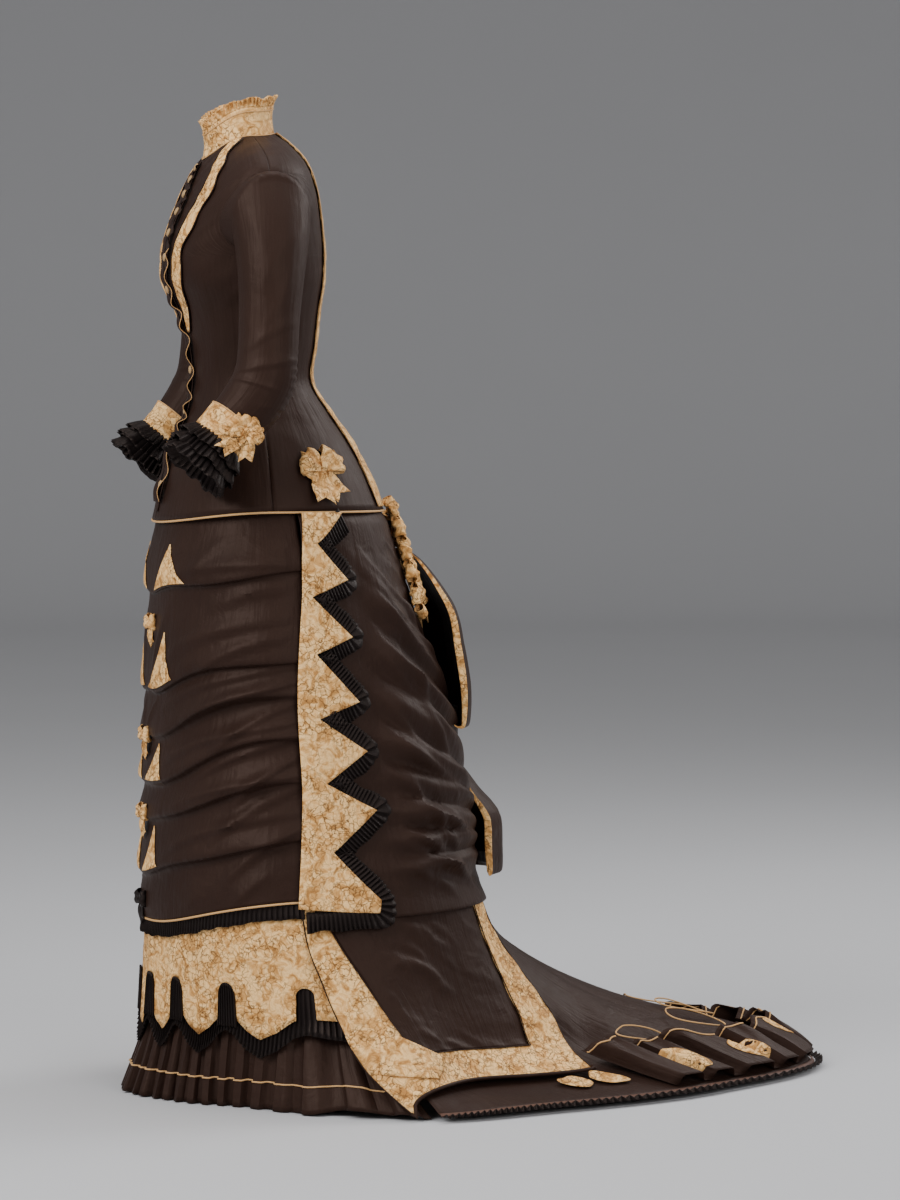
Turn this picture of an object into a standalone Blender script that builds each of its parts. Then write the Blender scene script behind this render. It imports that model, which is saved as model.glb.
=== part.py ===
"""Silk wedding dress of about 1880: a fitted bodice with long sleeves over a draped skirt with a train.

Heights in the tables are metres above the floor. The origin lies at the middle of the shoulder line, where
the wearer holds the dress up, so world z is the height less HOLD_HEIGHT. The wearer faces -Y and their left
side is +X. Every skirt piece is a thin wall on one shared form, moved out by its own lift.
"""

import bpy
import numpy as np

HOLD_HEIGHT = 1.340
SEAM_GAP = 0.0004
SILK_WALL = 0.0018
TRIM_WALL = 0.0013

# The bodice form. Columns: front height, side height, back height, half width, front depth, back depth.
TORSO = np.array([
    [1.335, 1.366, 1.373, 0.058, 0.060, 0.042],
    [1.322, 1.357, 1.360, 0.085, 0.067, 0.058],
    [1.308, 1.346, 1.346, 0.118, 0.074, 0.071],
    [1.292, 1.331, 1.330, 0.150, 0.081, 0.082],
    [1.272, 1.310, 1.308, 0.172, 0.089, 0.091],
    [1.250, 1.275, 1.278, 0.176, 0.099, 0.100],
    [1.224, 1.236, 1.240, 0.166, 0.108, 0.107],
    [1.195, 1.196, 1.198, 0.153, 0.112, 0.112],
    [1.158, 1.158, 1.160, 0.144, 0.111, 0.111],
    [1.118, 1.118, 1.120, 0.127, 0.094, 0.106],
    [1.068, 1.069, 1.070, 0.114, 0.079, 0.101],
    [1.014, 1.016, 1.018, 0.108, 0.0755, 0.0965],
    [0.968, 0.972, 0.974, 0.124, 0.086, 0.124],
    [0.930, 0.936, 0.938, 0.145, 0.102, 0.150],
    [0.882, 0.890, 0.892, 0.168, 0.117, 0.176],
    [0.820, 0.837, 0.835, 0.190, 0.131, 0.200],
])
HEM_LEVEL = 15.0
# Rows of the bodice panels, as levels down TORSO; rows are close round the armhole.
BODICE_LEVELS = np.array([
    0, 1.3, 2.7, 3.7, 4.06, 4.3, 4.9, 5.6, 6.2, 6.75, 7.05, 7.8, 8.7, 9.7, 11, 12.2, 13.5, 15
])
BUST_LEVEL, BUST_ANGLE, BUST_LIFT = 7.2, 34.0, 0.007

# The skirt form: distance from the axis at each angle from the front, top row first.
SKIRT_ANGLES = np.array([0, 45, 90, 115, 140, 160, 180], float)
SKIRT_HEIGHTS = np.array([0.865, 0.835, 0.760, 0.660, 0.540, 0.420, 0.300, 0.200, 0.120, 0.060, 0.030, 0.0])
SKIRT = np.array([
    [0.119, 0.138, 0.174, 0.176, 0.180, 0.183, 0.184],
    [0.128, 0.149, 0.186, 0.188, 0.191, 0.195, 0.196],
    [0.130, 0.154, 0.198, 0.204, 0.211, 0.218, 0.220],
    [0.134, 0.158, 0.208, 0.221, 0.235, 0.247, 0.252],
    [0.139, 0.161, 0.214, 0.233, 0.258, 0.280, 0.288],
    [0.143, 0.163, 0.219, 0.243, 0.276, 0.302, 0.310],
    [0.147, 0.164, 0.225, 0.262, 0.300, 0.325, 0.336],
    [0.151, 0.162, 0.228, 0.288, 0.322, 0.365, 0.395],
    [0.156, 0.161, 0.228, 0.318, 0.347, 0.430, 0.555],
    [0.161, 0.161, 0.229, 0.355, 0.382, 0.510, 0.765],
    [0.164, 0.162, 0.230, 0.382, 0.425, 0.600, 0.830],
    [0.167, 0.162, 0.231, 0.408, 0.530, 0.700, 0.872],
])

# Sleeve rings from the cap to the wrist. Columns: x, y, height of the centre, lean of the arm away from
# level and bend of the forearm forward in degrees, half size front to back, half size in to out.
SLEEVE_RINGS = np.array([
    [0.1790, 0.000, 1.243, 20, 0, 0.0560, 0.0585],
    [0.1900, -0.001, 1.200, 38, 0, 0.0510, 0.0540],
    [0.1980, -0.004, 1.155, 58, 0, 0.0460, 0.0480],
    [0.2030, -0.008, 1.105, 74, 3, 0.0425, 0.0440],
    [0.2070, -0.011, 1.060, 84, 8, 0.0420, 0.0425],
    [0.2090, -0.016, 1.022, 90, 20, 0.0435, 0.0420],
    [0.2075, -0.031, 0.993, 90, 36, 0.0430, 0.0410],
    [0.2020, -0.053, 0.965, 88, 41, 0.0400, 0.0385],
    [0.1950, -0.078, 0.938, 86, 42, 0.0360, 0.0350],
])
ARMHOLE_LEVEL, ARMHOLE_HALF_LEVELS, ARMHOLE_HALF_ANGLE = 5.55, 1.5, 36.0

# Tones of the cloths, as linear colour.
BROWN = (0.042, 0.026, 0.022)
TAN = (0.58, 0.38, 0.18)
BLACK = (0.012, 0.009, 0.009)
RUST = (0.11, 0.045, 0.026)


def spline(knots, values, x, flat_ends=False):
    """Smooth curve through values at knots; values may have columns."""
    knots = np.asarray(knots, float)
    values = np.asarray(values, float)
    slopes = np.gradient(values, knots, axis=0)
    if flat_ends:
        slopes[[0, -1]] = 0
    x = np.clip(np.asarray(x, float), knots[0], knots[-1])
    i = np.clip(np.searchsorted(knots, x, side="right") - 1, 0, len(knots) - 2)
    step = knots[i + 1] - knots[i]
    t = (x - knots[i]) / step
    shape = t.shape + (1,) * (values.ndim - 1)
    t, step = t.reshape(shape), step.reshape(shape)
    return (
        (1 + 2 * t) * (1 - t) ** 2 * values[i]
        + t * (1 - t) ** 2 * step * slopes[i]
        + t**2 * (3 - 2 * t) * values[i + 1]
        + t**2 * (t - 1) * step * slopes[i + 1]
    )


def torso_curve(angle, level):
    """Smooth bodice form at an angle from the front (degrees) and a level down TORSO."""
    angle, level = np.broadcast_arrays(np.asarray(angle, float), np.asarray(level, float))
    front_z, side_z, back_z, width, front, back = np.moveaxis(
        spline(np.arange(len(TORSO)), TORSO, level), -1, 0
    )
    turn = np.radians(angle)
    cosine = np.cos(turn)
    lobe = np.exp(-(((np.abs(angle) - BUST_ANGLE) / 20) ** 2 + ((level - BUST_LEVEL) / 1.3) ** 2))
    spread = 1 + BUST_LIFT * lobe / front
    x = width * np.sin(turn) * spread
    y = -np.where(cosine > 0, front, back) * cosine * spread
    z = side_z + (front_z - side_z) * np.maximum(cosine, 0) ** 2
    z = z + (back_z - side_z) * np.maximum(-cosine, 0) ** 2
    return np.stack([x, y, z], -1)


def torso(angle, level):
    """The bodice form, straight between its cut rows, so that trims lie evenly on the panels."""
    angle, level = np.broadcast_arrays(np.asarray(angle, float), np.asarray(level, float))
    row = np.clip(np.searchsorted(BODICE_LEVELS, level, side="right") - 1, 0, len(BODICE_LEVELS) - 2)
    part = (level - BODICE_LEVELS[row]) / (BODICE_LEVELS[row + 1] - BODICE_LEVELS[row])
    upper, lower = torso_curve(angle, BODICE_LEVELS[row]), torso_curve(angle, BODICE_LEVELS[row + 1])
    return upper + part[..., None] * (lower - upper)


def skirt(angle, height):
    """Skirt and train form at an angle from the front (degrees) and a height above the floor."""
    angle, height = np.broadcast_arrays(np.asarray(angle, float), np.asarray(height, float))
    folded = np.abs((angle + 180) % 360 - 180)
    radii = spline(SKIRT_HEIGHTS[::-1], SKIRT[::-1], height)
    weights = spline(SKIRT_ANGLES, np.eye(len(SKIRT_ANGLES)), folded, flat_ends=True)
    radius = (radii * weights).sum(-1)
    turn = np.radians(angle)
    return np.stack([radius * np.sin(turn), -radius * np.cos(turn), height], -1)


def normals(form, a, b):
    """Unit normals of a form, pointing away from its axis."""
    da, db = 0.4, 0.004 if form is skirt else 0.25
    across = form(a + da, b) - form(a - da, b)
    along = form(a, b + db) - form(a, b - db)
    normal = np.cross(across, along)
    normal /= np.linalg.norm(normal, axis=-1, keepdims=True)
    point = form(a, b)
    outward = (normal[..., :2] * point[..., :2]).sum(-1, keepdims=True)
    return normal * np.where(outward < 0, -1.0, 1.0)


def lifted(form, a, b, lift):
    """Points of a form moved out along its normals by lift."""
    a, b, lift = np.broadcast_arrays(*(np.asarray(v, float) for v in (a, b, lift)))
    return form(a, b) + lift[..., None] * normals(form, a, b)


def mirrored(points, side):
    """Points for the wearer's left (side 1) or right (side -1)."""
    return points * np.array([side, 1.0, 1.0])


def make_object(name, points, triangles, colour, roughness=0.6, metallic=0.0):
    """A mesh object with its own material; its triangles are turned to face out."""
    points = np.asarray(points, float) - np.array([0, 0, HOLD_HEIGHT])
    triangles = np.asarray(triangles)
    if np.linalg.det(points[triangles]).sum() < 0:
        triangles = triangles[:, ::-1]
    mesh = bpy.data.meshes.new(name)
    mesh.from_pydata(points.tolist(), [], triangles.tolist())
    mesh.shade_smooth()
    mesh.set_sharp_from_angle(angle=np.radians(50))
    obj = bpy.data.objects.new(name, mesh)
    bpy.context.scene.collection.objects.link(obj)
    material = bpy.data.materials.new(name + "_cloth")
    material.use_nodes = True
    shader = material.node_tree.nodes["Principled BSDF"]
    shader.inputs["Base Color"].default_value = (*colour, 1)
    shader.inputs["Roughness"].default_value = roughness
    shader.inputs["Metallic"].default_value = metallic
    mesh.materials.append(material)
    return obj


def wall_mesh(outer, inner, closed=False):
    """Points and triangles of the wall between two grids. closed joins the last column to the first."""
    rows, columns = outer.shape[:2]
    index = np.arange(rows * columns).reshape(rows, columns)
    if closed:
        index = np.concatenate([index, index[:, :1]], axis=1)
    inside = index + rows * columns

    def quads(a, b, c, d):
        halves = np.stack([a, b, c], -1), np.stack([a, c, d], -1)
        return np.concatenate([half.reshape(-1, 3) for half in halves])

    parts = [
        quads(index[:-1, :-1], index[:-1, 1:], index[1:, 1:], index[1:, :-1]),
        quads(inside[:-1, :-1], inside[:-1, 1:], inside[1:, 1:], inside[1:, :-1])[:, ::-1],
        quads(index[0, 1:], index[0, :-1], inside[0, :-1], inside[0, 1:]),
        quads(index[-1, :-1], index[-1, 1:], inside[-1, 1:], inside[-1, :-1]),
    ]
    if not closed:
        parts.append(quads(index[:-1, 0], index[1:, 0], inside[1:, 0], inside[:-1, 0]))
        parts.append(quads(index[1:, -1], index[:-1, -1], inside[:-1, -1], inside[1:, -1]))
    return np.concatenate([outer.reshape(-1, 3), inner.reshape(-1, 3)]), np.concatenate(parts)


def cloth_wall(name, form, a, b, lift, colour, wall=SILK_WALL, side=1, closed=False, roughness=0.6):
    """A piece of cloth on a form: its outer face is lifted by lift, its inner face by lift less wall."""
    a, b, lift = np.broadcast_arrays(*(np.asarray(v, float) for v in (a, b, lift)))
    outer = mirrored(lifted(form, a, b, lift), side)
    inner = mirrored(lifted(form, a, b, lift - wall), side)
    return make_object(name, *wall_mesh(outer, inner, closed), colour, roughness)


def piping(name, path, radius, colour, closed=False, sides=4):
    """A round cord along a path of points."""
    path = np.asarray(path, float)
    ahead = np.roll(path, -1, 0) - np.roll(path, 1, 0)
    if not closed:
        ahead[0] = path[1] - path[0]
        ahead[-1] = path[-1] - path[-2]
    ahead /= np.linalg.norm(ahead, axis=1, keepdims=True)
    across = np.cross(ahead, [0, 0, 1.0])
    across /= np.linalg.norm(across, axis=1, keepdims=True)
    up = np.cross(across, ahead)
    turn = np.linspace(0, 2 * np.pi, sides, endpoint=False)
    rings = path[:, None] + radius * (
        np.cos(turn)[None, :, None] * across[:, None] + np.sin(turn)[None, :, None] * up[:, None]
    )
    count = len(path)
    index = np.arange(count * sides).reshape(count, sides)
    index = np.concatenate([index, index[:, :1]], axis=1)
    if closed:
        index = np.concatenate([index, index[:1]], axis=0)
    a, b, c, d = index[:-1, :-1], index[:-1, 1:], index[1:, 1:], index[1:, :-1]
    triangles = [np.stack([a, b, c], -1).reshape(-1, 3), np.stack([a, c, d], -1).reshape(-1, 3)]
    if not closed:
        fan = np.arange(1, sides - 1)
        triangles.append(np.stack([np.zeros_like(fan), fan + 1, fan], -1))
        last = (count - 1) * sides
        triangles.append(np.stack([np.full_like(fan, last), last + fan, last + fan + 1], -1))
    return make_object(name, rings.reshape(-1, 3), np.concatenate(triangles), colour)


def bump(x, centre, width):
    return np.exp(-(((x - centre) / width) ** 2))


def step(x, start, end):
    t = np.clip((x - start) / (end - start), 0, 1)
    return t * t * (3 - 2 * t)


# Bodice

SIDE_SEAM, EDGE_GAP = 90.0, 0.18
PIPING_RADIUS = 0.0018


def armhole_cut(level):
    """Degrees that the armhole takes from the panels at a level, each side of the side seam."""
    inside = 1 - ((level - ARMHOLE_LEVEL) / ARMHOLE_HALF_LEVELS) ** 2
    return ARMHOLE_HALF_ANGLE * np.sqrt(np.maximum(inside, 0))


def make_bodice():
    level = BODICE_LEVELS[:, None]
    across = np.linspace(0, 1, 6)[None, :]
    for side, which in ((1, "left"), (-1, "right")):
        edge = SIDE_SEAM - armhole_cut(level)
        angle = EDGE_GAP + across * (edge - 2 * EDGE_GAP)
        cloth_wall(f"bodice_front_{which}", torso, angle, level, 0.0, BROWN, side=side)
        edge = SIDE_SEAM + armhole_cut(level)
        angle = 180 - EDGE_GAP - across * (180 - edge - 2 * EDGE_GAP)
        cloth_wall(f"bodice_back_{which}", torso, angle, level, 0.0, BROWN, side=side)
    hem_angle = np.linspace(0, 360, 32, endpoint=False)
    hem = lifted(torso, hem_angle, HEM_LEVEL, -SILK_WALL / 2) - np.array([0, 0, PIPING_RADIUS + SEAM_GAP])
    piping("bodice_hem_piping", hem, PIPING_RADIUS, TAN, closed=True)


# Brocade band down the middle of the back. Columns: level, half width in degrees.
BACK_BAND = np.array([[0.0, 15.0], [1.5, 22.0], [3.0, 28.0], [5.0, 30.0], [15.0, 30.0]])
BACK_BAND_LIFT, TRIM_LIFT = 0.0027, 0.0022
# Revers from the neck to the waist. Columns: level, middle angle, half width in degrees.
REVERS = np.array([
    [0.35, 66, 10], [1.5, 50, 8], [2.8, 41, 7], [4.0, 34, 7], [5.5, 26, 6.5], [7.0, 21, 6], [8.2, 20, 6],
    [9.0, 15, 5], [9.6, 9.5, 2.5],
])
REVERS_WAVES, REVERS_WAVE_ANGLE = 5.5, 1.1


def make_bodice_trims():
    level = np.concatenate([BODICE_LEVELS[:1] + 0.1, BODICE_LEVELS[1:-1], BODICE_LEVELS[-1:] - 0.06])[:, None]
    half = np.interp(level, BACK_BAND[:, 0], BACK_BAND[:, 1])
    angle = 180 + half * np.array([-1, -0.6, 0, 0.6, 1])[None, :]
    cloth_wall("bodice_back_band", torso, angle, level, BACK_BAND_LIFT, TAN, TRIM_WALL)
    level = np.linspace(REVERS[0, 0], REVERS[-1, 0], 22)
    middle, half = spline(REVERS[:, 0], REVERS[:, 1:], level).T
    wave = REVERS_WAVE_ANGLE * np.sin(2 * np.pi * REVERS_WAVES * np.linspace(0, 1, len(level)))
    angle = middle[:, None] + np.stack([-half, 0.1 * half, half + wave], 1)
    for side, which in ((1, "left"), (-1, "right")):
        cloth_wall(f"revers_{which}", torso, angle, level[:, None], TRIM_LIFT, TAN, TRIM_WALL, side)


STAND_HALF_ANGLE, BUTTONS, BUTTON_HALF_ANGLE, BUTTON_RISE = 2.7, 8, 3.4, 0.0035
FRILL_WAVES, FRILL_DEPTH = 10, 0.0045


def make_front_closing():
    """The stand carries a raised round button at every swell; the frill beside it waves in and out."""
    middle = np.linspace(1.0, 14.2, BUTTONS)[:, None]
    edges = np.array([[-0.22, 0], [-0.12, 1], [0.12, 1], [0.22, 0]])
    marks = np.concatenate([(middle + edges[:, 0]).ravel(), BODICE_LEVELS[1:-1], [0.3, 14.8]])
    level = np.unique(marks)
    swell = np.interp(level, (middle + edges[:, 0]).ravel(), np.tile(edges[:, 1], BUTTONS))
    half = STAND_HALF_ANGLE + (BUTTON_HALF_ANGLE - STAND_HALF_ANGLE) * swell
    angle = np.stack([-half, 0 * half, half], 1)
    lift = TRIM_LIFT + BUTTON_RISE * np.stack([0 * swell, swell, 0 * swell], 1)
    cloth_wall("button_stand", torso, angle, level[:, None], lift, TAN, TRIM_WALL + 0.0002)
    level = np.linspace(0.5, 14.6, 4 * FRILL_WAVES + 1)
    wave = np.sin(np.arange(len(level)) * np.pi / 2)
    angle = np.stack([4.1 + 0 * wave, 8.2 + 1.2 * wave], 1)
    lift = TRIM_LIFT + np.stack([0.0005 + 0 * wave, 0.0063 + FRILL_DEPTH * wave], 1)
    cloth_wall("front_edge_frill", torso, angle, level[:, None], lift, BROWN, TRIM_WALL)


COLLAR_HEIGHT, COLLAR_OPENING, COLLAR_WALL = 0.040, 2.5, 0.0020
NECK_FRILL_WAVES, NECK_FRILL_HEIGHT, NECK_FRILL_WAVE = 14, 0.013, 0.0035


def make_collar():
    angle = np.linspace(COLLAR_OPENING, 360 - COLLAR_OPENING, 19)
    ring = torso(angle, 0.0)
    out = ring * np.array([1, 1, 0])
    out /= np.linalg.norm(out, axis=1, keepdims=True)
    lean = np.array([0.0, -0.0018, -0.0010])[:, None, None]
    rise = np.array([SEAM_GAP, 0.5 * COLLAR_HEIGHT, COLLAR_HEIGHT])[:, None, None]
    outer = ring + out * lean + np.array([0, 0, 1.0]) * rise
    make_object("collar_band", *wall_mesh(outer, outer - out * COLLAR_WALL), TAN)
    angle = np.linspace(COLLAR_OPENING, 360 - COLLAR_OPENING, 4 * NECK_FRILL_WAVES + 1)
    ring = torso(angle, 0.0)
    out = ring * np.array([1, 1, 0])
    out /= np.linalg.norm(out, axis=1, keepdims=True)
    wave = NECK_FRILL_WAVE * np.sin(np.arange(len(angle)) * np.pi / 2)
    rise = COLLAR_HEIGHT + 3 * SEAM_GAP + np.array([0, 1])[:, None] * NECK_FRILL_HEIGHT
    spread = np.stack([0.25 * wave - 0.001, wave + 0.003])
    outer = ring + out * spread[..., None] + np.array([0, 0, 1.0]) * rise[..., None]
    make_object("collar_frill", *wall_mesh(outer, outer - out * TRIM_WALL), TAN)


# Sleeves

SLEEVE_SIDES = 12
ELBOW_RING, ELBOW_PLEATS = 5, 0.0016


def armhole_loop(turn, grow, lift):
    """Points just outside the armhole; turn runs from the front over the shoulder to the back."""
    angle = 90 - (ARMHOLE_HALF_ANGLE + grow) * np.cos(turn)
    level = ARMHOLE_LEVEL - (ARMHOLE_HALF_LEVELS + grow * 0.04) * np.sin(turn)
    return lifted(torso, angle, level, lift)


def arm_frame(row):
    """Axis, forward and outward directions of a sleeve ring."""
    lean, bend = np.radians(row[3]), np.radians(row[4])
    down = np.array([np.cos(lean), 0, -np.sin(lean)])
    forward = np.array([0, -1.0, 0])
    outward = np.array([np.sin(lean), 0, np.cos(lean)])
    return (
        down * np.cos(bend) + forward * np.sin(bend),
        forward * np.cos(bend) - down * np.sin(bend),
        outward,
    )


def arm_ring(row, turn, grow=0.0):
    _, forward, outward = arm_frame(row)
    grow = np.broadcast_to(grow, turn.shape)
    return (
        row[:3]
        + ((row[5] + grow) * np.cos(turn))[:, None] * forward
        + ((row[6] + grow) * np.sin(turn))[:, None] * outward
    )


def past_wrist(distance, spread):
    """A ring row further along the forearm than the last one."""
    row = SLEEVE_RINGS[-1].copy()
    row[:3] += arm_frame(row)[0] * distance
    row[5:] += spread
    return row


CUFF_LIFT, CUFF_PAST = 0.0018, 0.008
SIZE_ONLY = np.array([0, 0, 0, 0, 0, 1.0, 1.0])
WRIST_PLEATS, WRIST_PLEAT_DEPTH = 11, 0.0026
# Profile of the three-tier frill. Columns: distance past the wrist, spread, share of the pleat depth.
WRIST_TIERS = np.array([
    [0.0085, 0.0030, 0.2], [0.0270, 0.0120, 1.0], [0.0275, 0.0040, 0.4], [0.0420, 0.0150, 1.0],
    [0.0425, 0.0070, 0.4], [0.0580, 0.0185, 1.0],
])


def make_sleeves():
    turn = np.linspace(0, 2 * np.pi, SLEEVE_SIDES, endpoint=False)
    rings_out = [armhole_loop(turn, 1.0, 0.0022)]
    rings_in = [armhole_loop(turn, -1.0, 0.0022)]
    for number, row in enumerate(SLEEVE_RINGS):
        pleat = ELBOW_PLEATS * np.cos(turn * 8) * bump(number, ELBOW_RING, 1.5) * (np.cos(turn) < 0.3)
        rings_out.append(arm_ring(row, turn, pleat))
        rings_in.append(arm_ring(row, turn, pleat - SILK_WALL))
    # The cap leaves the armhole in a short even curve.
    rings_out.insert(1, 0.55 * rings_out[0] + 0.45 * rings_out[1] + np.array([0.004, 0, 0.002]))
    rings_in.insert(1, 0.55 * rings_in[0] + 0.45 * rings_in[1] + np.array([0.004, 0, 0.002]))
    outer, inner = np.array(rings_out), np.array(rings_in)
    upper, wrist = SLEEVE_RINGS[-2:]
    cuff_rows = [upper + share * (wrist - upper) + CUFF_LIFT * SIZE_ONLY for share in (0.12, 0.55, 1.0)]
    cuff_rows.append(past_wrist(CUFF_PAST, CUFF_LIFT))
    cuff_out = np.array([arm_ring(row, turn) for row in cuff_rows])
    cuff_in = np.array([arm_ring(row, turn, -TRIM_WALL) for row in cuff_rows])
    fine = np.linspace(0, 2 * np.pi, 2 * WRIST_PLEATS, endpoint=False)
    pleat = WRIST_PLEAT_DEPTH * np.tile([1.0, -1.0], WRIST_PLEATS)
    frill_out = [arm_ring(past_wrist(d, s), fine, p * pleat) for d, s, p in WRIST_TIERS]
    frill_in = [arm_ring(past_wrist(d, s - 0.002), fine, p * pleat) for d, s, p in WRIST_TIERS]
    for side, which in ((1, "left"), (-1, "right")):
        make_object(f"sleeve_{which}", *wall_mesh(mirrored(outer, side), mirrored(inner, side), True), BROWN)
        make_object(f"cuff_{which}", *wall_mesh(mirrored(cuff_out, side), mirrored(cuff_in, side), True), TAN)
        frill = wall_mesh(mirrored(np.array(frill_out), side), mirrored(np.array(frill_in), side), True)
        make_object(f"wrist_frill_{which}", *frill, BLACK)


# Bows

BOW_COLUMNS = np.array([-1, -0.7, -0.38, -0.14, 0.14, 0.38, 0.7, 1])


def make_bow(name, centre, out, up, size, colour):
    """A ribbon bow: two puffed loops beside a raised knot, with an end hanging under each."""
    half_width, height, depth, tail = size
    out, up = (np.asarray(v, float) / np.linalg.norm(v) for v in (out, up))
    across = np.cross(up, out)
    w = BOW_COLUMNS[None, :]
    v = np.linspace(-1, 1, 4)[:, None]
    reach = np.abs(w)
    tall = 0.34 + 0.66 * np.sin(0.5 * np.pi * np.minimum(reach * 1.5, 1))
    tall = 0.5 * height * tall * (1 - 0.35 * reach**6)
    hang = tail * bump(reach, 0.38, 0.20) * np.maximum(-v, 0) ** 2
    puff = depth * (4 * reach * (1 - 0.92 * reach)) ** 0.6 * (1 - 0.45 * v**2)
    puff = puff + 0.7 * depth * bump(w, 0, 0.16)
    crease = 0.10 * depth * np.cos(v * 7) * reach
    rise = v * tall - hang - 0.10 * height * reach**2
    points = (
        np.asarray(centre, float)
        + (half_width * w + 0 * v)[..., None] * across
        + rise[..., None] * up
        + (puff + crease - 0.25 * depth)[..., None] * out
    )
    return make_object(name, *wall_mesh(points, points - out * TRIM_WALL), colour)


CUFF_BOW, CUFF_BOW_OUT, CUFF_BOW_UP = (0.2402, -0.052, 0.948), (1, 0.1, 0.12), (-0.1, 0.55, 1)
HIP_BOW = (116.0, 13.9)
HIP_BOW_LIFT, HIP_BOW_TILT = -0.0034, 0.5
# Front bows down the apron. Columns: height, lift of the middle off the form, colour.
FRONT_BOWS = ((0.672, 0.0083, TAN), (0.512, 0.0126, TAN), (0.400, 0.0124, TAN), (0.276, 0.0072, BLACK))
# Sizes of the bows: half width, height, depth, length of the ends.
CUFF_BOW_SIZE, HIP_BOW_SIZE = (0.029, 0.036, 0.0085, 0.034), (0.037, 0.048, 0.012, 0.036)
FRONT_BOW_SIZE = (0.022, 0.030, 0.008, 0.024)


def make_bows():
    angle, level = HIP_BOW
    place, out = lifted(torso, angle, level, HIP_BOW_LIFT), normals(torso, angle, level)
    up = torso(angle, level - HIP_BOW_TILT) - torso(angle, level + HIP_BOW_TILT)
    for side, which in ((1, "left"), (-1, "right")):
        cuff = (mirrored(np.array(v), side) for v in (CUFF_BOW, CUFF_BOW_OUT, CUFF_BOW_UP))
        make_bow(f"cuff_bow_{which}", *cuff, CUFF_BOW_SIZE, TAN)
        make_bow(f"hip_bow_{which}", *(mirrored(v, side) for v in (place, out, up)), HIP_BOW_SIZE, TAN)
    for number, (height, lift, colour) in enumerate(FRONT_BOWS):
        centre = lifted(skirt, 0.0, height, lift)
        make_bow(f"front_bow_{number + 1}", centre, (0, -1, 0), (0, 0, 1), FRONT_BOW_SIZE, colour)


# Apron

APRON_EDGE = 101.0
APRON_COLUMNS = 15
APRON_TOP, APRON_HEM = 0.862, 0.253
# Draped folds of the apron. Columns: height at the front, rise to the side, depth.
APRON_FOLDS = np.array([
    [0.722, 0.030, 0.010], [0.585, 0.052, 0.011], [0.516, 0.070, 0.011], [0.446, 0.078, 0.012],
    [0.394, 0.066, 0.011], [0.322, 0.058, 0.012],
])
FOLD_UNDER = 0.011


def side_rise(angle):
    return step(np.abs(angle), 10, APRON_EDGE)


def apron_hem(angle):
    return APRON_HEM + 0.042 * side_rise(angle) ** 1.4


def apron_rows(angle):
    """Heights and lifts of the apron rows: each fold swells down to an edge, then turns under."""
    side = side_rise(angle)
    calm = 1 - 0.75 * step(np.abs(angle), 84, APRON_EDGE)
    heights = [np.full_like(angle, APRON_TOP), np.full_like(angle, 0.812)]
    lifts = [np.full_like(angle, -0.0085), np.full_like(angle, -0.0060)]
    above = heights[-1]
    for front, rise, depth in APRON_FOLDS:
        edge = front + rise * side + 0.004 * np.sin(np.radians(np.abs(angle) * 5 + front * 900))
        heights.append(edge + 0.42 * (above - edge))
        lifts.append(0.0055 * calm + 0.002)
        heights.append(edge)
        lifts.append(depth * calm + 0.002)
        heights.append(edge - FOLD_UNDER)
        lifts.append(0.0005 + 0.0 * angle)
        above = edge - FOLD_UNDER
    hem = apron_hem(angle)
    heights += [hem + 0.5 * (above - hem), hem]
    lifts += [0.004 * calm + 0.002, 0.005 * calm + 0.002]
    return np.array(heights), np.array(lifts)


PLEATS, FRILL_EDGE, FRILL_PLEAT_DEPTH = 26, 94.0, 0.0011
FRILL_UNDER, FRILL_HEIGHT, FRILL_TOP_LIFT, FRILL_HEM_LIFT = 0.010, 0.034, -0.0009, 0.0012


def make_apron():
    angle = np.linspace(-APRON_EDGE, APRON_EDGE, APRON_COLUMNS)
    heights, lifts = apron_rows(angle)
    cloth_wall("apron", skirt, angle[None, :], heights, lifts, BROWN)
    angle = np.linspace(-APRON_EDGE + 0.5, APRON_EDGE - 0.5, 25)
    heights, lifts = apron_rows(angle)
    path = lifted(skirt, angle, heights[-1], lifts[-1] - SILK_WALL / 2)
    path = path - np.array([0, 0, PIPING_RADIUS + 2 * SEAM_GAP])
    piping("apron_piping", path, PIPING_RADIUS, TAN)
    angle = np.linspace(-FRILL_EDGE, FRILL_EDGE, 2 * PLEATS + 1)
    zigzag = FRILL_PLEAT_DEPTH * np.tile([1, -1], PLEATS + 1)[: len(angle)]
    top = apron_hem(angle) + FRILL_UNDER
    heights = np.stack([top, top - FRILL_HEIGHT])
    lift = np.stack([FRILL_TOP_LIFT + 0.3 * zigzag, FRILL_HEM_LIFT + zigzag])
    cloth_wall("apron_frill", skirt, angle[None, :], heights, lift, BLACK, TRIM_WALL)


# Triangular insets beside the centre front. Columns: fold at the base, rows up to the apex, apex angle,
# base start angle, base end angle.
INSETS = ((0, 1.2, 27, 12, 44), (1, 1.3, 23, 6, 35), (3, 1.95, 18, 5, 28), (5, 1.95, 14, 4, 24))
INSET_LIFT, INSET_LOWER = 0.0023, 0.02


def apron_point(angle, row):
    """Height and lift at an angle and a row of the apron, read between its columns and rows."""
    columns = np.linspace(-APRON_EDGE, APRON_EDGE, APRON_COLUMNS)
    heights, lifts = apron_rows(columns)
    low = np.clip(np.floor(row).astype(int), 0, len(heights) - 2)
    part = row - low
    column = np.clip(np.searchsorted(columns, angle, side="right") - 1, 0, APRON_COLUMNS - 2)
    beside = (angle - columns[column]) / (columns[1] - columns[0])

    def read(values):
        upper = values[low, column] * (1 - beside) + values[low, column + 1] * beside
        lower = values[low + 1, column] * (1 - beside) + values[low + 1, column + 1] * beside
        return upper * (1 - part) + lower * part

    return read(heights), read(lifts)


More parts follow.
